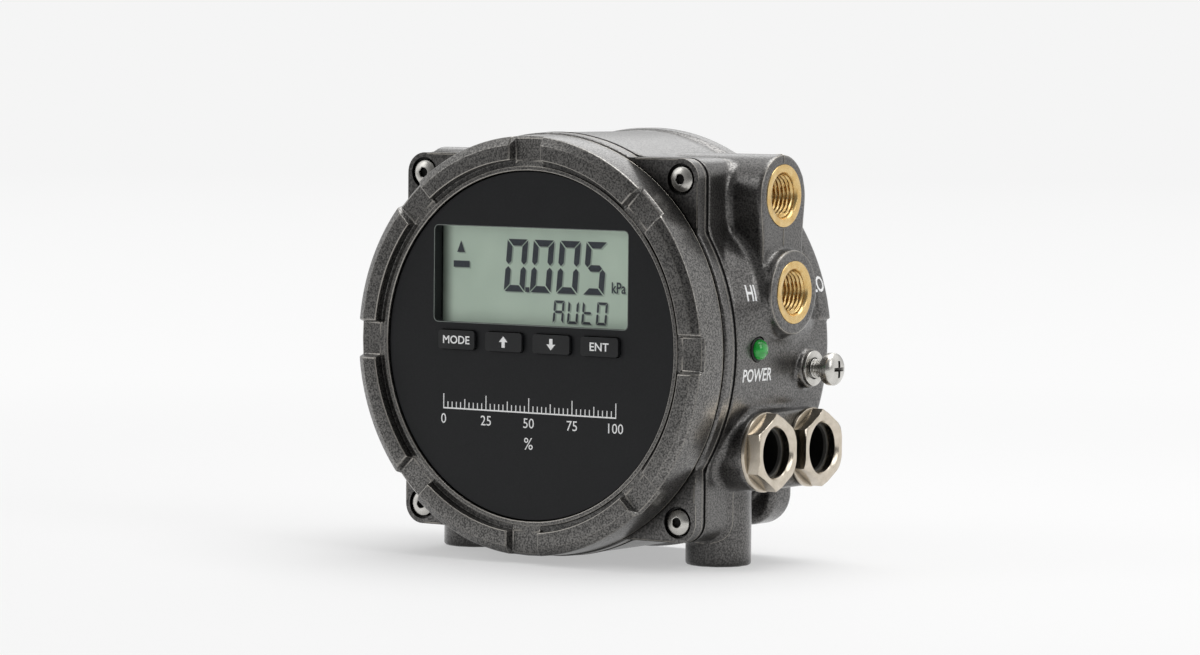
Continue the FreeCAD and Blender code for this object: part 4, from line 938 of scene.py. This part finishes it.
def make_earth_screw():
    end, top = side_ends("ground_screw")
    neck = side_ends("ground_lock_washer")[1]
    dome, head, shank = neck + 1.5, 5.0, 2.6
    rows = [(end, 0.0), (end, 2.3), (end + 0.6, shank)]
    rows += thread_rows(end + 0.7, neck - 0.9, 2.55, 2.98, EARTH_PITCH)
    rows += [(neck - 0.85, shank), (neck, shank), (neck, head - 0.15), (neck + 0.15, head), (dome, head)]
    rows += domed_rows(dome, top, 3.6, 1.4) + [(top, 0.0)]
    piece = turned("earth_screw_turned", rows, 72, out_of_side(EARTH), STAINLESS, False)
    combine(piece, cross_cutter(top))
    settle(shaded(piece, 38), "ground_screw", "stainless", "ground_screw")


# Geometry Nodes: copies on points, and ridges along paths


def new_tree(name, label, kind):
    """A tree that takes a geometry, a value of that kind and a material, with its inputs."""
    tree = bpy.data.node_groups.new(name, "GeometryNodeTree")
    shape = "NodeSocketGeometry"
    for given, socket in (("Geometry", shape), (label, kind), ("Material", "NodeSocketMaterial")):
        tree.interface.new_socket(given, in_out="INPUT", socket_type=socket)
    tree.interface.new_socket("Geometry", in_out="OUTPUT", socket_type=shape)
    return tree, add(tree, "NodeGroupInput").outputs


def ended_tree(tree, given, geometry):
    """The tree, which gives that geometry in its material."""
    solid = add(tree, "GeometryNodeRealizeInstances", {"Geometry": geometry}).outputs["Geometry"]
    coated = add(tree, "GeometryNodeSetMaterial", {"Geometry": solid, "Material": given["Material"]})
    add(tree, "NodeGroupOutput", {"Geometry": coated.outputs["Geometry"]})
    return tree


def copies_tree():
    """A copy of the prototype on each point, turned and sized by the point's own attributes."""
    tree, given = new_tree("copies_on_points", "Prototype", "NodeSocketObject")
    shape = add(tree, "GeometryNodeObjectInfo", {"Object": given["Prototype"]})
    turn, size = (
        add(tree, "GeometryNodeInputNamedAttribute", {"Name": name}, data_type="FLOAT_VECTOR")
        for name in ("turn", "size"))
    placed = add(tree, "GeometryNodeInstanceOnPoints", {
        "Points": given["Geometry"], "Instance": shape.outputs["Geometry"],
        "Rotation": turn.outputs["Attribute"], "Scale": size.outputs["Attribute"]})
    return ended_tree(tree, given, placed.outputs["Instances"])


def ridge_tree():
    """A round ridge along the edges of a mesh."""
    tree, given = new_tree("ridge_along_path", "Ridge", "NodeSocketFloat")
    path = add(tree, "GeometryNodeMeshToCurve", {"Mesh": given["Geometry"]}).outputs["Curve"]
    section = add(tree, "GeometryNodeCurvePrimitiveCircle", {"Resolution": 8, "Radius": given["Ridge"]})
    ridge = add(tree, "GeometryNodeCurveToMesh", {
        "Curve": path, "Profile Curve": section.outputs["Curve"], "Fill Caps": True})
    return ended_tree(tree, given, ridge.outputs["Mesh"])


COPIES = copies_tree()
RIDGE = ridge_tree()


def grown(name, mesh, tree, label, value, material):
    """What a tree makes of a mesh, as a plain mesh on a new object."""
    piece = linked(name, mesh)
    step = piece.modifiers.new("grown", "NODES")
    step.node_group = tree
    sockets = {s.name: s.identifier for s in tree.interface.items_tree if s.in_out == "INPUT"}
    step[sockets[label]] = value
    step[sockets["Material"]] = material
    return applied(piece)


def ridges(name, paths, radius, material):
    """A ridge of that radius along each path of points, in millimetres."""
    points, edges = [], []
    for path in paths:
        start = len(points)
        points += [[c * MM for c in point] for point in path]
        edges += [(i, i + 1) for i in range(start, len(points) - 1)]
    mesh = bpy.data.meshes.new(name + "_paths")
    mesh.from_pydata(points, edges, [])
    piece = grown(name, mesh, RIDGE, "Ridge", radius * MM, material)
    piece.data.shade_smooth()
    return piece


def copies(name, prototype, spots, material):
    """Copies of a prototype at (place, turn, size) spots, in millimetres and radians."""
    mesh = bpy.data.meshes.new(name + "_points")
    mesh.from_pydata([[c * MM for c in place] for place, *_ in spots], [], [])
    for label, column in (("turn", 1), ("size", 2)):
        layer = mesh.attributes.new(label, "FLOAT_VECTOR", "POINT")
        layer.data.foreach_set("vector", [c for spot in spots for c in spot[column]])
    piece = grown(name, mesh, COPIES, "Prototype", prototype, material)
    discard(prototype)
    return piece


def button_head_screw():
    """Button-head socket screw about the axis towards the front, with its seat at the origin."""
    edge, steep = 0.7, math.radians(80)
    rows = [(-13.0, 0.0), (-13.0, 1.6), (-12.6, 1.9), (0.0, 1.9)]
    rows += [(0.0, HEAD_RADIUS - 0.1), (0.12, HEAD_RADIUS), (edge, HEAD_RADIUS)]
    for step in range(1, 8):
        turn = steep * step / 7
        rise = (HEAD_RISE - edge) * math.sin(turn) / math.sin(steep)
        rows.append((edge + rise, HEAD_RADIUS * math.cos(turn * 0.84)))
    rows.append((HEAD_RISE, hexagon(SOCKET_FLAT, 0.22)))
    rows += [(HEAD_RISE - drop, hexagon(SOCKET_FLAT)) for drop in (0.12, 1.35)]
    rows.append((HEAD_RISE - 1.6, 0.0))
    return turned("button_head_screw", rows, 48, out_of_front(0, 0), STAINLESS, False)


def make_flange_screws():
    seat = front("flange_screws") - HEAD_RISE
    spots = []
    for i, (x, up) in enumerate(four(SCREW_PLACE)):
        spots.append(((x, -seat, up), (0.0, math.radians(17 + 23 * i), 0.0), (1.0, 1.0, 1.0)))
    piece = copies("flange_screws_turned", button_head_screw(), spots, STAINLESS)
    piece.data.materials.append(RECESS_SHADE_BLACK)
    # The socket faces get painted shade.
    for face in piece.data.polygons:
        x, y, up = face.center / MM
        off_axis = math.hypot(abs(x) - SCREW_PLACE[0], abs(up) - SCREW_PLACE[1])
        face.material_index = 1 if off_axis < 1.6 and -y > seat else 0
    settle(shaded(piece, 36), "case", "stainless", "flange_screws")


def make_collar_thread():
    """Thread on the collar that the bezel ring turns on."""
    radius, steps = RING_BORE - 0.34, 72
    first, last = RING_REAR + 0.8, COLLAR_FRONT - 0.8
    path = []
    for i in range(int((last - first) / COLLAR_PITCH * steps) + 1):
        turn = FULL_TURN * i / steps
        forward = first + COLLAR_PITCH * i / steps
        path.append((radius * math.cos(turn), -forward, radius * math.sin(turn)))
    settle(ridges("collar_thread", [path], 0.24, COAT), "case", "casting")


def make_mould_seam():
    """The parting line that the mould left on the port block."""
    face, top = UPPER_PORT_FACE, UPPER_PORT[2] + UPPER_BOSS_RADIUS
    over = [(face, UPPER_PORT[2] + INSERT_RADIUS + 0.4), (face, top - 1.0), (face - 0.3, top - 0.3)]
    over += [(face - 1.0, top), (face - 5.0, top - 0.3)]
    between = [(face, LOWER_PORT[2] + LOWER_BOSS_RADIUS + 1.0), (face, UPPER_PORT[2] - INSERT_RADIUS - 0.4)]
    paths = [[(x, -PORT_FORWARD, up) for x, up in path] for path in (over, between)]
    # The seam is a real ridge, drawn pale as painted highlight.
    settle(ridges("mould_seam", paths, 0.2, WORN_EDGE_HIGHLIGHT), "case", "casting")


def ear_corners(inset, beyond, forward):
    """Outlines of the four ears, that far inside their edge, where they stand out past a circle."""
    wide, tall = EAR_HALF[0] - inset, EAR_HALF[1] - inset
    corner = EAR_CORNER - inset
    low, near = math.sqrt(beyond ** 2 - wide ** 2), math.sqrt(beyond ** 2 - tall ** 2)
    quarter = [(wide, up) for up in np.linspace(low, tall - corner, 16, endpoint=False)]
    for turn in np.linspace(0, math.pi / 2, 13):
        quarter.append((wide - corner + corner * math.cos(turn), tall - corner + corner * math.sin(turn)))
    quarter += [(x, tall) for x in np.linspace(wide - corner, near, 16)[1:]]
    return [[(x * side, -forward, up * end) for x, up in quarter] for side in (-1, 1) for end in (-1, 1)]


def eared_outline(inset, forward):
    """The way round the joint, that far inside the castings' edge."""
    turn = np.linspace(0, FULL_TURN, 721)
    near, far = np.full_like(turn, 40.0), np.full_like(turn, 90.0)
    for _ in range(24):
        reach = (near + far) / 2
        ears = rounded_rectangle(reach * np.cos(turn), reach * np.sin(turn), EAR_HALF, EAR_CORNER)
        inside = np.minimum(reach - DRUM_RADIUS, ears) < -inset
        near, far = np.where(inside, reach, near), np.where(inside, far, reach)
    return [(r * math.cos(t), -forward, r * math.sin(t)) for r, t in zip(near, turn)]


def surface(name):
    """A finished piece's surface, for finding places on it."""
    mesh = bpy.data.objects[name].data
    return BVHTree.FromPolygons([v.co for v in mesh.vertices], [p.vertices for p in mesh.polygons])


def laid_on(name, paths):
    """Paths in millimetres moved to the nearest place on a piece, then sunk a little below its surface."""
    shell = surface(name)
    made = []
    for path in paths:
        spots = [shell.find_nearest(Vector(point) * MM) for point in path]
        made.append([(place / MM - normal * WORN_SINK) for place, normal, *_ in spots])
    return made


def make_worn_edge_highlights():
    """Bright lines along the castings' outer edges: partly coat rubbed thin, partly painted highlight."""
    cast = []
    for face, reach, port in (
            (LOWER_PORT_FACE - 0.26, LOWER_BOSS_RADIUS - 0.26, LOWER_PORT),
            (LEFT_BOSS_FACE + 0.44, UPPER_BOSS_RADIUS - 0.44, UPPER_PORT)):
        cast.append([(face, reach * math.sin(t) - PORT_FORWARD, reach * math.cos(t) + port[2])
                     for t in np.linspace(0, FULL_TURN, 73)])
    reach, face = UPPER_BOSS_RADIUS - 0.3, UPPER_PORT_FACE - 0.3
    rise, start = UPPER_PORT[2] - LOWER_PORT[2], LOWER_PORT[2] + LOWER_BOSS_RADIUS - 2.0
    side = []
    for up in np.linspace(start, UPPER_PORT[2], 24, endpoint=False):
        waist = WAIST * math.sin(math.pi * (up - LOWER_PORT[2]) / rise) ** 2
        side.append((reach - waist, up))
    arch = [(reach * math.cos(t), UPPER_PORT[2] + reach * math.sin(t)) for t in np.linspace(0, math.pi, 33)]
    block = side + arch + [(-across, up) for across, up in side[::-1]]
    cast.append([(face, across - PORT_FORWARD, up) for across, up in block])
    cast += ear_corners(0.53, DRUM_RADIUS + 3.2, JOINT - EAR_DEPTH + 0.53)
    brow = ear_corners(0.38, DRUM_RADIUS + 0.6, FLANGE_FRONT - 0.38) + [eared_outline(0.12, JOINT + 1.75)]
    paths = laid_on("housing_casting", cast) + laid_on("front_flange_finished", brow)
    settle(ridges("worn_edges", paths, 0.13, WORN_EDGE_HIGHLIGHT), "case", "casting")
    # A painted highlight, with rubbed coat, along the ring's rear outer edge.
    reach, rear = RING_OUTER - 0.12, -(RING_REAR + 0.45)
    skirt = [(reach * math.cos(t), rear, reach * math.sin(t)) for t in np.linspace(0, FULL_TURN, 361)]
    paths = laid_on("bezel_ring_casting", [skirt])
    settle(ridges("ring_worn_edge", paths, 0.15, WORN_EDGE_HIGHLIGHT), "bezel_ring", "casting")


def make_joint_bead():
    """A matt black bead at the castings' edge, a dark line all round the joint: gasket rubber, widened as
    painted shade of the groove between the castings.
    """
    path = eared_outline(0.74, JOINT + 0.25)
    settle(ridges("joint_bead", [path], 0.9, GASKET_AND_JOINT_SHADE), "case", "gasket")


# Print and display


def lettering(words, height, weight=0.0):
    """Words as a flat drawing in millimetres, centred on their own middle, x along the line."""
    text = bpy.data.curves.new("words", "FONT")
    text.body = words
    text.size = 1.0
    text.offset = weight
    text.align_x = "CENTER"
    text.fill_mode = "FRONT"
    text.resolution_u = 3
    holder = linked("words", text)
    mesh = evaluated(holder)
    bpy.data.objects.remove(holder)
    bpy.data.curves.remove(text)
    points, faces = drawing_of(mesh)
    low, high = points.min(0), points.max(0)
    return (points - (low + high) / 2) * (height / (high[1] - low[1])), faces


def drawing_of(mesh):
    """A mesh's points and faces. The mesh is used up."""
    made = np.array([v.co for v in mesh.vertices]), [tuple(p.vertices) for p in mesh.polygons]
    bpy.data.meshes.remove(mesh)
    return made


def divided(points, faces):
    """The drawing with its faces cut small enough to follow a curved wall."""
    mesh = bpy.data.meshes.new("divided")
    mesh.from_pydata(points.tolist(), [], faces)
    work = bmesh.new()
    work.from_mesh(mesh)
    bmesh.ops.triangulate(work, faces=work.faces)
    bmesh.ops.remove_doubles(work, verts=work.verts, dist=1e-5)
    for _ in range(2):
        long_edges = [e for e in work.edges if e.calc_length() > 0.8]
        bmesh.ops.subdivide_edges(work, edges=long_edges, cuts=1)
        bmesh.ops.triangulate(work, faces=work.faces)
    work.to_mesh(mesh)
    work.free()
    return drawing_of(mesh)


def slab(points, faces, thickness):
    """A flat drawing with points (x, y) made a thin closed plate."""
    count = len(points)
    flat = [(x, y, 0.0) for x, y, *_ in points]
    raised = [(x, y, thickness) for x, y, *_ in points]
    edges = {(a, b): None for face in faces for a, b in zip(face, face[1:] + face[:1])}
    shell = [tuple(i + count for i in face) for face in faces]
    shell += [face[::-1] for face in faces]
    shell += [(a, b, b + count, a + count) for a, b in edges if (b, a) not in edges]
    return np.array(flat + raised), shell


def printed(name, drawings, place, material=INK, thickness=0.03):
    """Flat drawings of (points, faces) made thin plates and put in place."""
    all_points, all_faces = [], []
    for points, faces in drawings:
        solid, shell = slab(points, faces, thickness)
        start = sum(len(p) for p in all_points)
        all_points.append(place(solid))
        all_faces += [tuple(i + start for i in face) for face in shell]
    return new_piece(name, np.concatenate(all_points), all_faces, material)


def shifted(drawing, x, y, stretch=1.0):
    points, faces = drawing
    return points * (stretch, 1.0, 1.0) + np.array((x, y, 0.0)), faces


def on_front(forward):
    """Puts a drawing on a plane that faces the front."""
    return lambda points: np.stack([points[:, 0], -forward - points[:, 2], points[:, 1]], 1)


def outlined(outline):
    """A drawing of one face."""
    return np.array([(x, y, 0.0) for x, y in outline]), [tuple(range(len(outline)))]


def arrow(side):
    """An arrow with a straight shaft, pointing up for 1 and down for -1."""
    outline = [(-0.6, -1.7), (0.6, -1.7), (0.6, 0.0), (1.6, 0.0), (0.0, 1.75), (-1.6, 0.0), (-0.6, 0.0)]
    points = np.array([(x, y * side, 0.0) for x, y in outline])
    return points, [face[::side] for face in ((0, 1, 2, 6), (3, 4, 5, 6, 2))]


def make_key_legends():
    for node, drawing, stretch in (
            ("key_mode", lettering("MODE", 2.5, 0.014), 1.05), ("key_up", arrow(1), 1.0),
            ("key_down", arrow(-1), 1.0), ("key_enter", lettering("ENT", 2.5, 0.014), 1.08)):
        x, _, up = middle(node)
        piece = printed(node + "_legend", [shifted(drawing, x, up, stretch)], on_front(KEY_FRONT))
        settle(piece, node, "key_black")


def make_side_print():
    """White words beside the ports and under the lamp, laid on the casting."""
    shell = surface("housing_casting")

    def on_casting(points):
        made = []
        for along, up, lift in points:
            hit = shell.ray_cast(Vector((0.2, along * MM, up * MM)), Vector((-1, 0, 0)))[0]
            made.append((hit.x / MM + lift, along, up))
        return np.array(made)

    drawings = []
    for text, height, along, up, stretch in (
            ("HI", 4.8, -46.4, 17.6, 0.52), ("L", 4.8, -7.55, 18.8, 0.86),
            ("O", 4.8, -4.3, 18.8, 0.80), ("POWER", 4.0, -40.8, -7.2, 0.84)):
        drawings.append(shifted(divided(*lettering(text, height, 0.016)), along, up, stretch))
    settle(printed("side_lettering", drawings, on_casting, INK, 0.06), "case", "casting")


GLYPHS = {"0": "abcdef", "5": "afgcd", "A": "abcefg", "U": "bcdef", "T": "defg", "O": "abcdef"}


def digit(letter, left, low, width, height, weight):
    """The bars of a seven-segment character, cut at 45 degrees where they meet, with fine gaps between."""
    half, mid, gap = height / 2, weight / 2, 0.14 * weight
    inner, upper = width - weight, height - weight
    side = [(width, height - gap), (inner, upper - gap), (inner, half + mid + gap),
            (width - mid, half + gap), (width, half + mid + gap)]
    cap = [(gap, height), (weight + gap, upper), (inner - gap, upper), (width - gap, height)]
    waist = [(mid + gap, half), (weight + gap, half - mid), (inner - gap, half - mid),
             (width - mid - gap, half), (inner - gap, half + mid), (weight + gap, half + mid)]
    bars = {
        "a": cap, "b": side, "g": waist,
        "c": [(x, height - y) for x, y in side[::-1]],
        "d": [(x, height - y) for x, y in cap[::-1]],
        "e": [(width - x, height - y) for x, y in side],
        "f": [(width - x, y) for x, y in side[::-1]],
    }
    lean = math.tan(math.radians(5.0))
    return [outlined([(left + x + lean * y, low + y) for x, y in bars[name]]) for name in GLYPHS[letter]]


def box_drawing(left, low, width, height):
    right, top = left + width, low + height
    return outlined([(left, low), (right, low), (right, top), (left, top)])


def make_display():
    """Dark segments on the panel: a reading, its unit, a word below and two marks on the left."""
    drawings = []
    for i, letter in enumerate("0005"):
        drawings += digit(letter, -13.3 + 9.75 * i, 16.0, 7.7, 16.0, 2.0)
    for i, letter in enumerate("AUTO"):
        drawings += digit(letter, 5.0 + 5.3 * i, 7.0, 3.9, 6.9, 0.8)
    drawings += [box_drawing(-5.2, 16.0, 1.5, 1.5), box_drawing(-32.3, 22.8, 6.1, 2.0)]
    drawings.append(outlined([(-31.0, 27.4), (-28.0, 27.4), (-29.5, 31.0)]))
    drawings.append(shifted(lettering("kPa", 3.4, 0.02), 29.2, 18.4, 0.80))
    settle(printed("display_segments", drawings, on_front(GLASS_FRONT), SEGMENT), "case", "display_panel")
    behind = [shifted(drawing, 0.5, -0.35) for drawing in drawings]
    piece = printed("display_segment_shade", behind, on_front(GLASS_FRONT), SHADE, 0.012)
    settle(piece, "case", "display_panel")


def make_window_edge():
    """A thin glossy mid-grey ridge round the display window's rim, a painted highlight of its edge that also
    catches the light.
    """
    low, high = corners("window_lens")
    side, rise = (high[0] - low[0]) / 2 - LENS_OVERLAP, (high[2] - low[2]) / 2 - LENS_OVERLAP
    path = []
    for x, z, first in ((1, 1, 0), (-1, 1, 90), (-1, -1, 180), (1, -1, 270)):
        for step in range(5):
            turn = math.radians(first + 90 * step / 4)
            across = x * (side - LENS_CORNER) + LENS_CORNER * math.cos(turn)
            up = z * (rise - LENS_CORNER) + LENS_CORNER * math.sin(turn)
            path.append((across, -FASCIA_FRONT + 0.06, middle("window_lens")[2] + up))
    settle(ridges("window_edge", [path + path[:1]], 0.14, WINDOW_EDGE_HIGHLIGHT), "case", "fascia_black")


def make_face_scale():
    """A plain percent scale printed on the lower face."""
    width, base, line, thin = 64.0, -20.0, 0.32, 0.03
    level = (0.0, 0.0, 0.0)
    spots = []
    for i in range(41):
        tall = 4.2 if i % 10 == 0 else 2.8 if i % 5 == 0 else 1.8
        spots.append((((i / 40 - 0.5) * width, 0.0, base + tall / 2), level, (line, thin, tall)))
    spots.append(((0.0, 0.0, base - 0.2), level, (width + line, thin, 0.42)))
    tick = printed("tick", [box_drawing(-0.5, -0.5, 1.0, 1.0)], on_front(0.0), INK, 1.0)
    piece = copies("face_scale_ticks", tick, spots, INK)
    piece.data.transform(Matrix.Translation((0, -FASCIA_FRONT * MM, 0)))
    settle(piece, "case", "fascia_black")
    figures = []
    for i, text in enumerate(("0", "25", "50", "75", "100")):
        figures.append(shifted(lettering(text, 3.0), (i / 4 - 0.5) * width, base - 3.4))
    figures.append(shifted(lettering("%", 3.6), 0.0, base - 9.6))
    settle(printed("face_scale_figures", figures, on_front(FASCIA_FRONT)), "case", "fascia_black")


# Build


make_housing()
make_bezel_ring()
softened("front_flange", 1.3, COAT, "case", "casting", 4)
softened("fascia", 0.35, FASCIA, "case", "fascia_black", 2)
for key in ("key_mode", "key_up", "key_down", "key_enter"):
    softened(key, 0.5, KEY_RUBBER, key, "key_black")
softened("ground_washer", 0.2, STAINLESS, "case", "stainless", 2)
softened("ground_lock_washer", 0.18, STAINLESS, "ground_lock_washer", "stainless", 2)
make_insert("upper_port_insert", UPPER_PORT_FACE, UPPER_PORT)
make_insert("lower_port_insert", LOWER_PORT_FACE, LOWER_PORT)
make_bushing("front_gland_bushing", FRONT_GLAND)
make_bushing("rear_gland_bushing", REAR_GLAND)
make_lamp_holder()
make_lamp()
make_earth_screw()
make_flange_screws()
make_collar_thread()
make_mould_seam()
make_joint_bead()
make_worn_edge_highlights()
make_window_edge()
make_key_legends()
make_side_print()
make_display()
make_face_scale()

FINISHES = {
    RUBBER: ("joint_gasket", "bezel_seal", "front_gland_seal", "rear_gland_seal"),
    LENS: ("window_lens",),
    PANEL: ("display_glass",),
    BLACK: ("display_frame", "key_switches", "board_link"),
    BOARD: ("display_board", "main_board"),
    ZINC: ("display_board_screws", "board_spacers", "main_board_screws", "terminal_screws", "sensor_screws"),
    TERMINAL: ("terminal_block",),
    CAN: ("capacitors",),
    CAPSULE: ("sensor_base", "sensor_cover"),
    FILM: ("sensor_diaphragm",),
    TUBE: ("lower_tube", "upper_tube"),
}
for material, nodes in FINISHES.items():
    for node in nodes:
        dressed(NODES[node], material)


# Floor, light and camera


BACKDROP = "#f5f5f5"


def mix_shaders(tree, share, first, second):
    return add(tree, "ShaderNodeMixShader", {0: share, 1: first.outputs[0], 2: second.outputs[0]})


def make_floor():
    """White sweep: it takes shadows near the part and is plain white to the eye further out."""
    reach, height = 6.0, -SOLE * MM
    mesh = bpy.data.meshes.new("floor")
    mesh.from_pydata(
        [(-reach, -reach, height), (reach, -reach, height), (reach, reach, height), (-reach, reach, height)],
        [], [(0, 1, 2, 3)])
    material = bpy.data.materials.new("white_sweep")
    tree = emptied(material)
    coords = add(tree, "ShaderNodeTexCoord").outputs["Object"]
    away = maths(tree, "LENGTH", coords, kind="VectorMath")
    path = add(tree, "ShaderNodeLightPath").outputs
    seen = maths(tree, "MAXIMUM", path["Is Camera Ray"], path["Is Glossy Ray"])
    seen = maths(tree, "MAXIMUM", seen, path["Is Transmission Ray"])
    plain = maths(tree, "MULTIPLY", seen, eased(tree, away, 0.16, 0.8, 0.45))
    matt = add(tree, "ShaderNodeBsdfDiffuse", {"Color": colour("#f4f4f4")})
    far = ramp(tree, maths(tree, "DIVIDE", away, reach), (0.15, "#fbfbfb"), (0.75, BACKDROP))
    ahead = maths(tree, "DOT_PRODUCT", coords, (0.0, -1.0, 0.0), kind="VectorMath")
    dim = ramp(tree, ahead, (0.2, 0.0), (0.7, 0.7))
    dim = maths(tree, "MULTIPLY", dim, path["Is Glossy Ray"])
    room = blend(tree, far, colour(0.0), dim, "MIX")
    glow = add(tree, "ShaderNodeEmission", {"Color": room, "Strength": 1.0})
    mix = mix_shaders(tree, plain, matt, glow)
    add(tree, "ShaderNodeOutputMaterial", {"Surface": mix.outputs["Shader"]})
    dressed(linked("floor", mesh), material)


def make_world():
    """White to the eye. In reflections the tent is bright overhead, dimmer level with the object and dark
    towards the viewer, as the room behind a camera is."""
    world = bpy.data.worlds.new("studio")
    bpy.context.scene.world = world
    tree = emptied(world)
    path = add(tree, "ShaderNodeLightPath").outputs
    seen = maths(tree, "MAXIMUM", path["Is Camera Ray"], path["Is Transmission Ray"])
    coords = add(tree, "ShaderNodeTexCoord").outputs["Generated"]
    height = add(tree, "ShaderNodeSeparateXYZ", {"Vector": coords}).outputs["Z"]
    above = ramp(tree, height, (0.0, 0.94), (0.7, 1.0))
    toward = maths(tree, "DOT_PRODUCT", coords, (0.5, -0.87, 0.0), kind="VectorMath")
    shadow = ramp(tree, eased(tree, toward, -1.0, 1.0, 0.0, "LINEAR"),
                  (0.0, 0.5), (0.22, 1.0), (0.5, 1.0), (0.72, 0.34), (0.95, 0.16))
    tent = blend(tree, above, shadow)
    mirrored, ambient, backdrop = (
        add(tree, "ShaderNodeBackground", {"Color": shown, "Strength": strength})
        for shown, strength in ((tent, 1.0), (colour(1.0), 0.38), (colour(BACKDROP), 1.0)))
    unseen = mix_shaders(tree, path["Is Glossy Ray"], ambient, mirrored)
    mix = mix_shaders(tree, seen, unseen, backdrop)
    add(tree, "ShaderNodeOutputWorld", {"Surface": mix.outputs["Shader"]})


def softbox(name, place, target, size, power):
    light = bpy.data.lights.new(name, "AREA")
    light.shape = "RECTANGLE"
    light.size, light.size_y = size
    light.energy = power
    lamp = linked(name, light)
    lamp.location = place
    lamp.rotation_euler = (Vector(target) - Vector(place)).to_track_quat("-Z", "Y").to_euler()


def make_camera():
    """The photograph's view: azimuth and elevation of the line of sight, roll and distance."""
    azimuth, elevation, roll = (math.radians(a) for a in (34.759, 3.297, 0.520))
    distance, aside, above = 1450.0, 12.379, 4.974
    back = Vector((math.sin(azimuth) * math.cos(elevation), -math.cos(azimuth) * math.cos(elevation),
                   math.sin(elevation)))
    right = Vector((math.cos(azimuth), math.sin(azimuth), 0.0))
    up = back.cross(right)
    turned_right = right * math.cos(roll) + up * math.sin(roll)
    turned_up = up * math.cos(roll) - right * math.sin(roll)
    place = turned_right * aside + turned_up * above + back * distance + Vector((0, -JOINT, 0))
    data = bpy.data.cameras.new("camera")
    data.sensor_width = 36.0
    data.lens = 142.66
    data.clip_end = 50.0
    camera = linked("camera", data)
    camera.matrix_world = Matrix.Translation(place * MM) @ Matrix(
        (turned_right, turned_up, back)).transposed().to_4x4()
    bpy.context.scene.camera = camera


make_floor()
make_world()
softbox("overhead", (0.1, 0.2, 1.1), (0, -0.03, 0), (1.1, 0.8), 9.4)
softbox("left_front", (-0.9, -1.0, 0.7), (0, -0.05, 0), (0.6, 0.9), 2.0)
softbox("right", (1.3, -0.2, 0.7), (0.05, -0.03, 0), (0.6, 0.9), 3.6)
softbox("rear_left", (-0.5, 1.0, 0.7), (0, -0.02, 0.02), (0.8, 0.6), 1.4)
make_camera()
bpy.context.scene.view_settings.view_transform = "Standard"
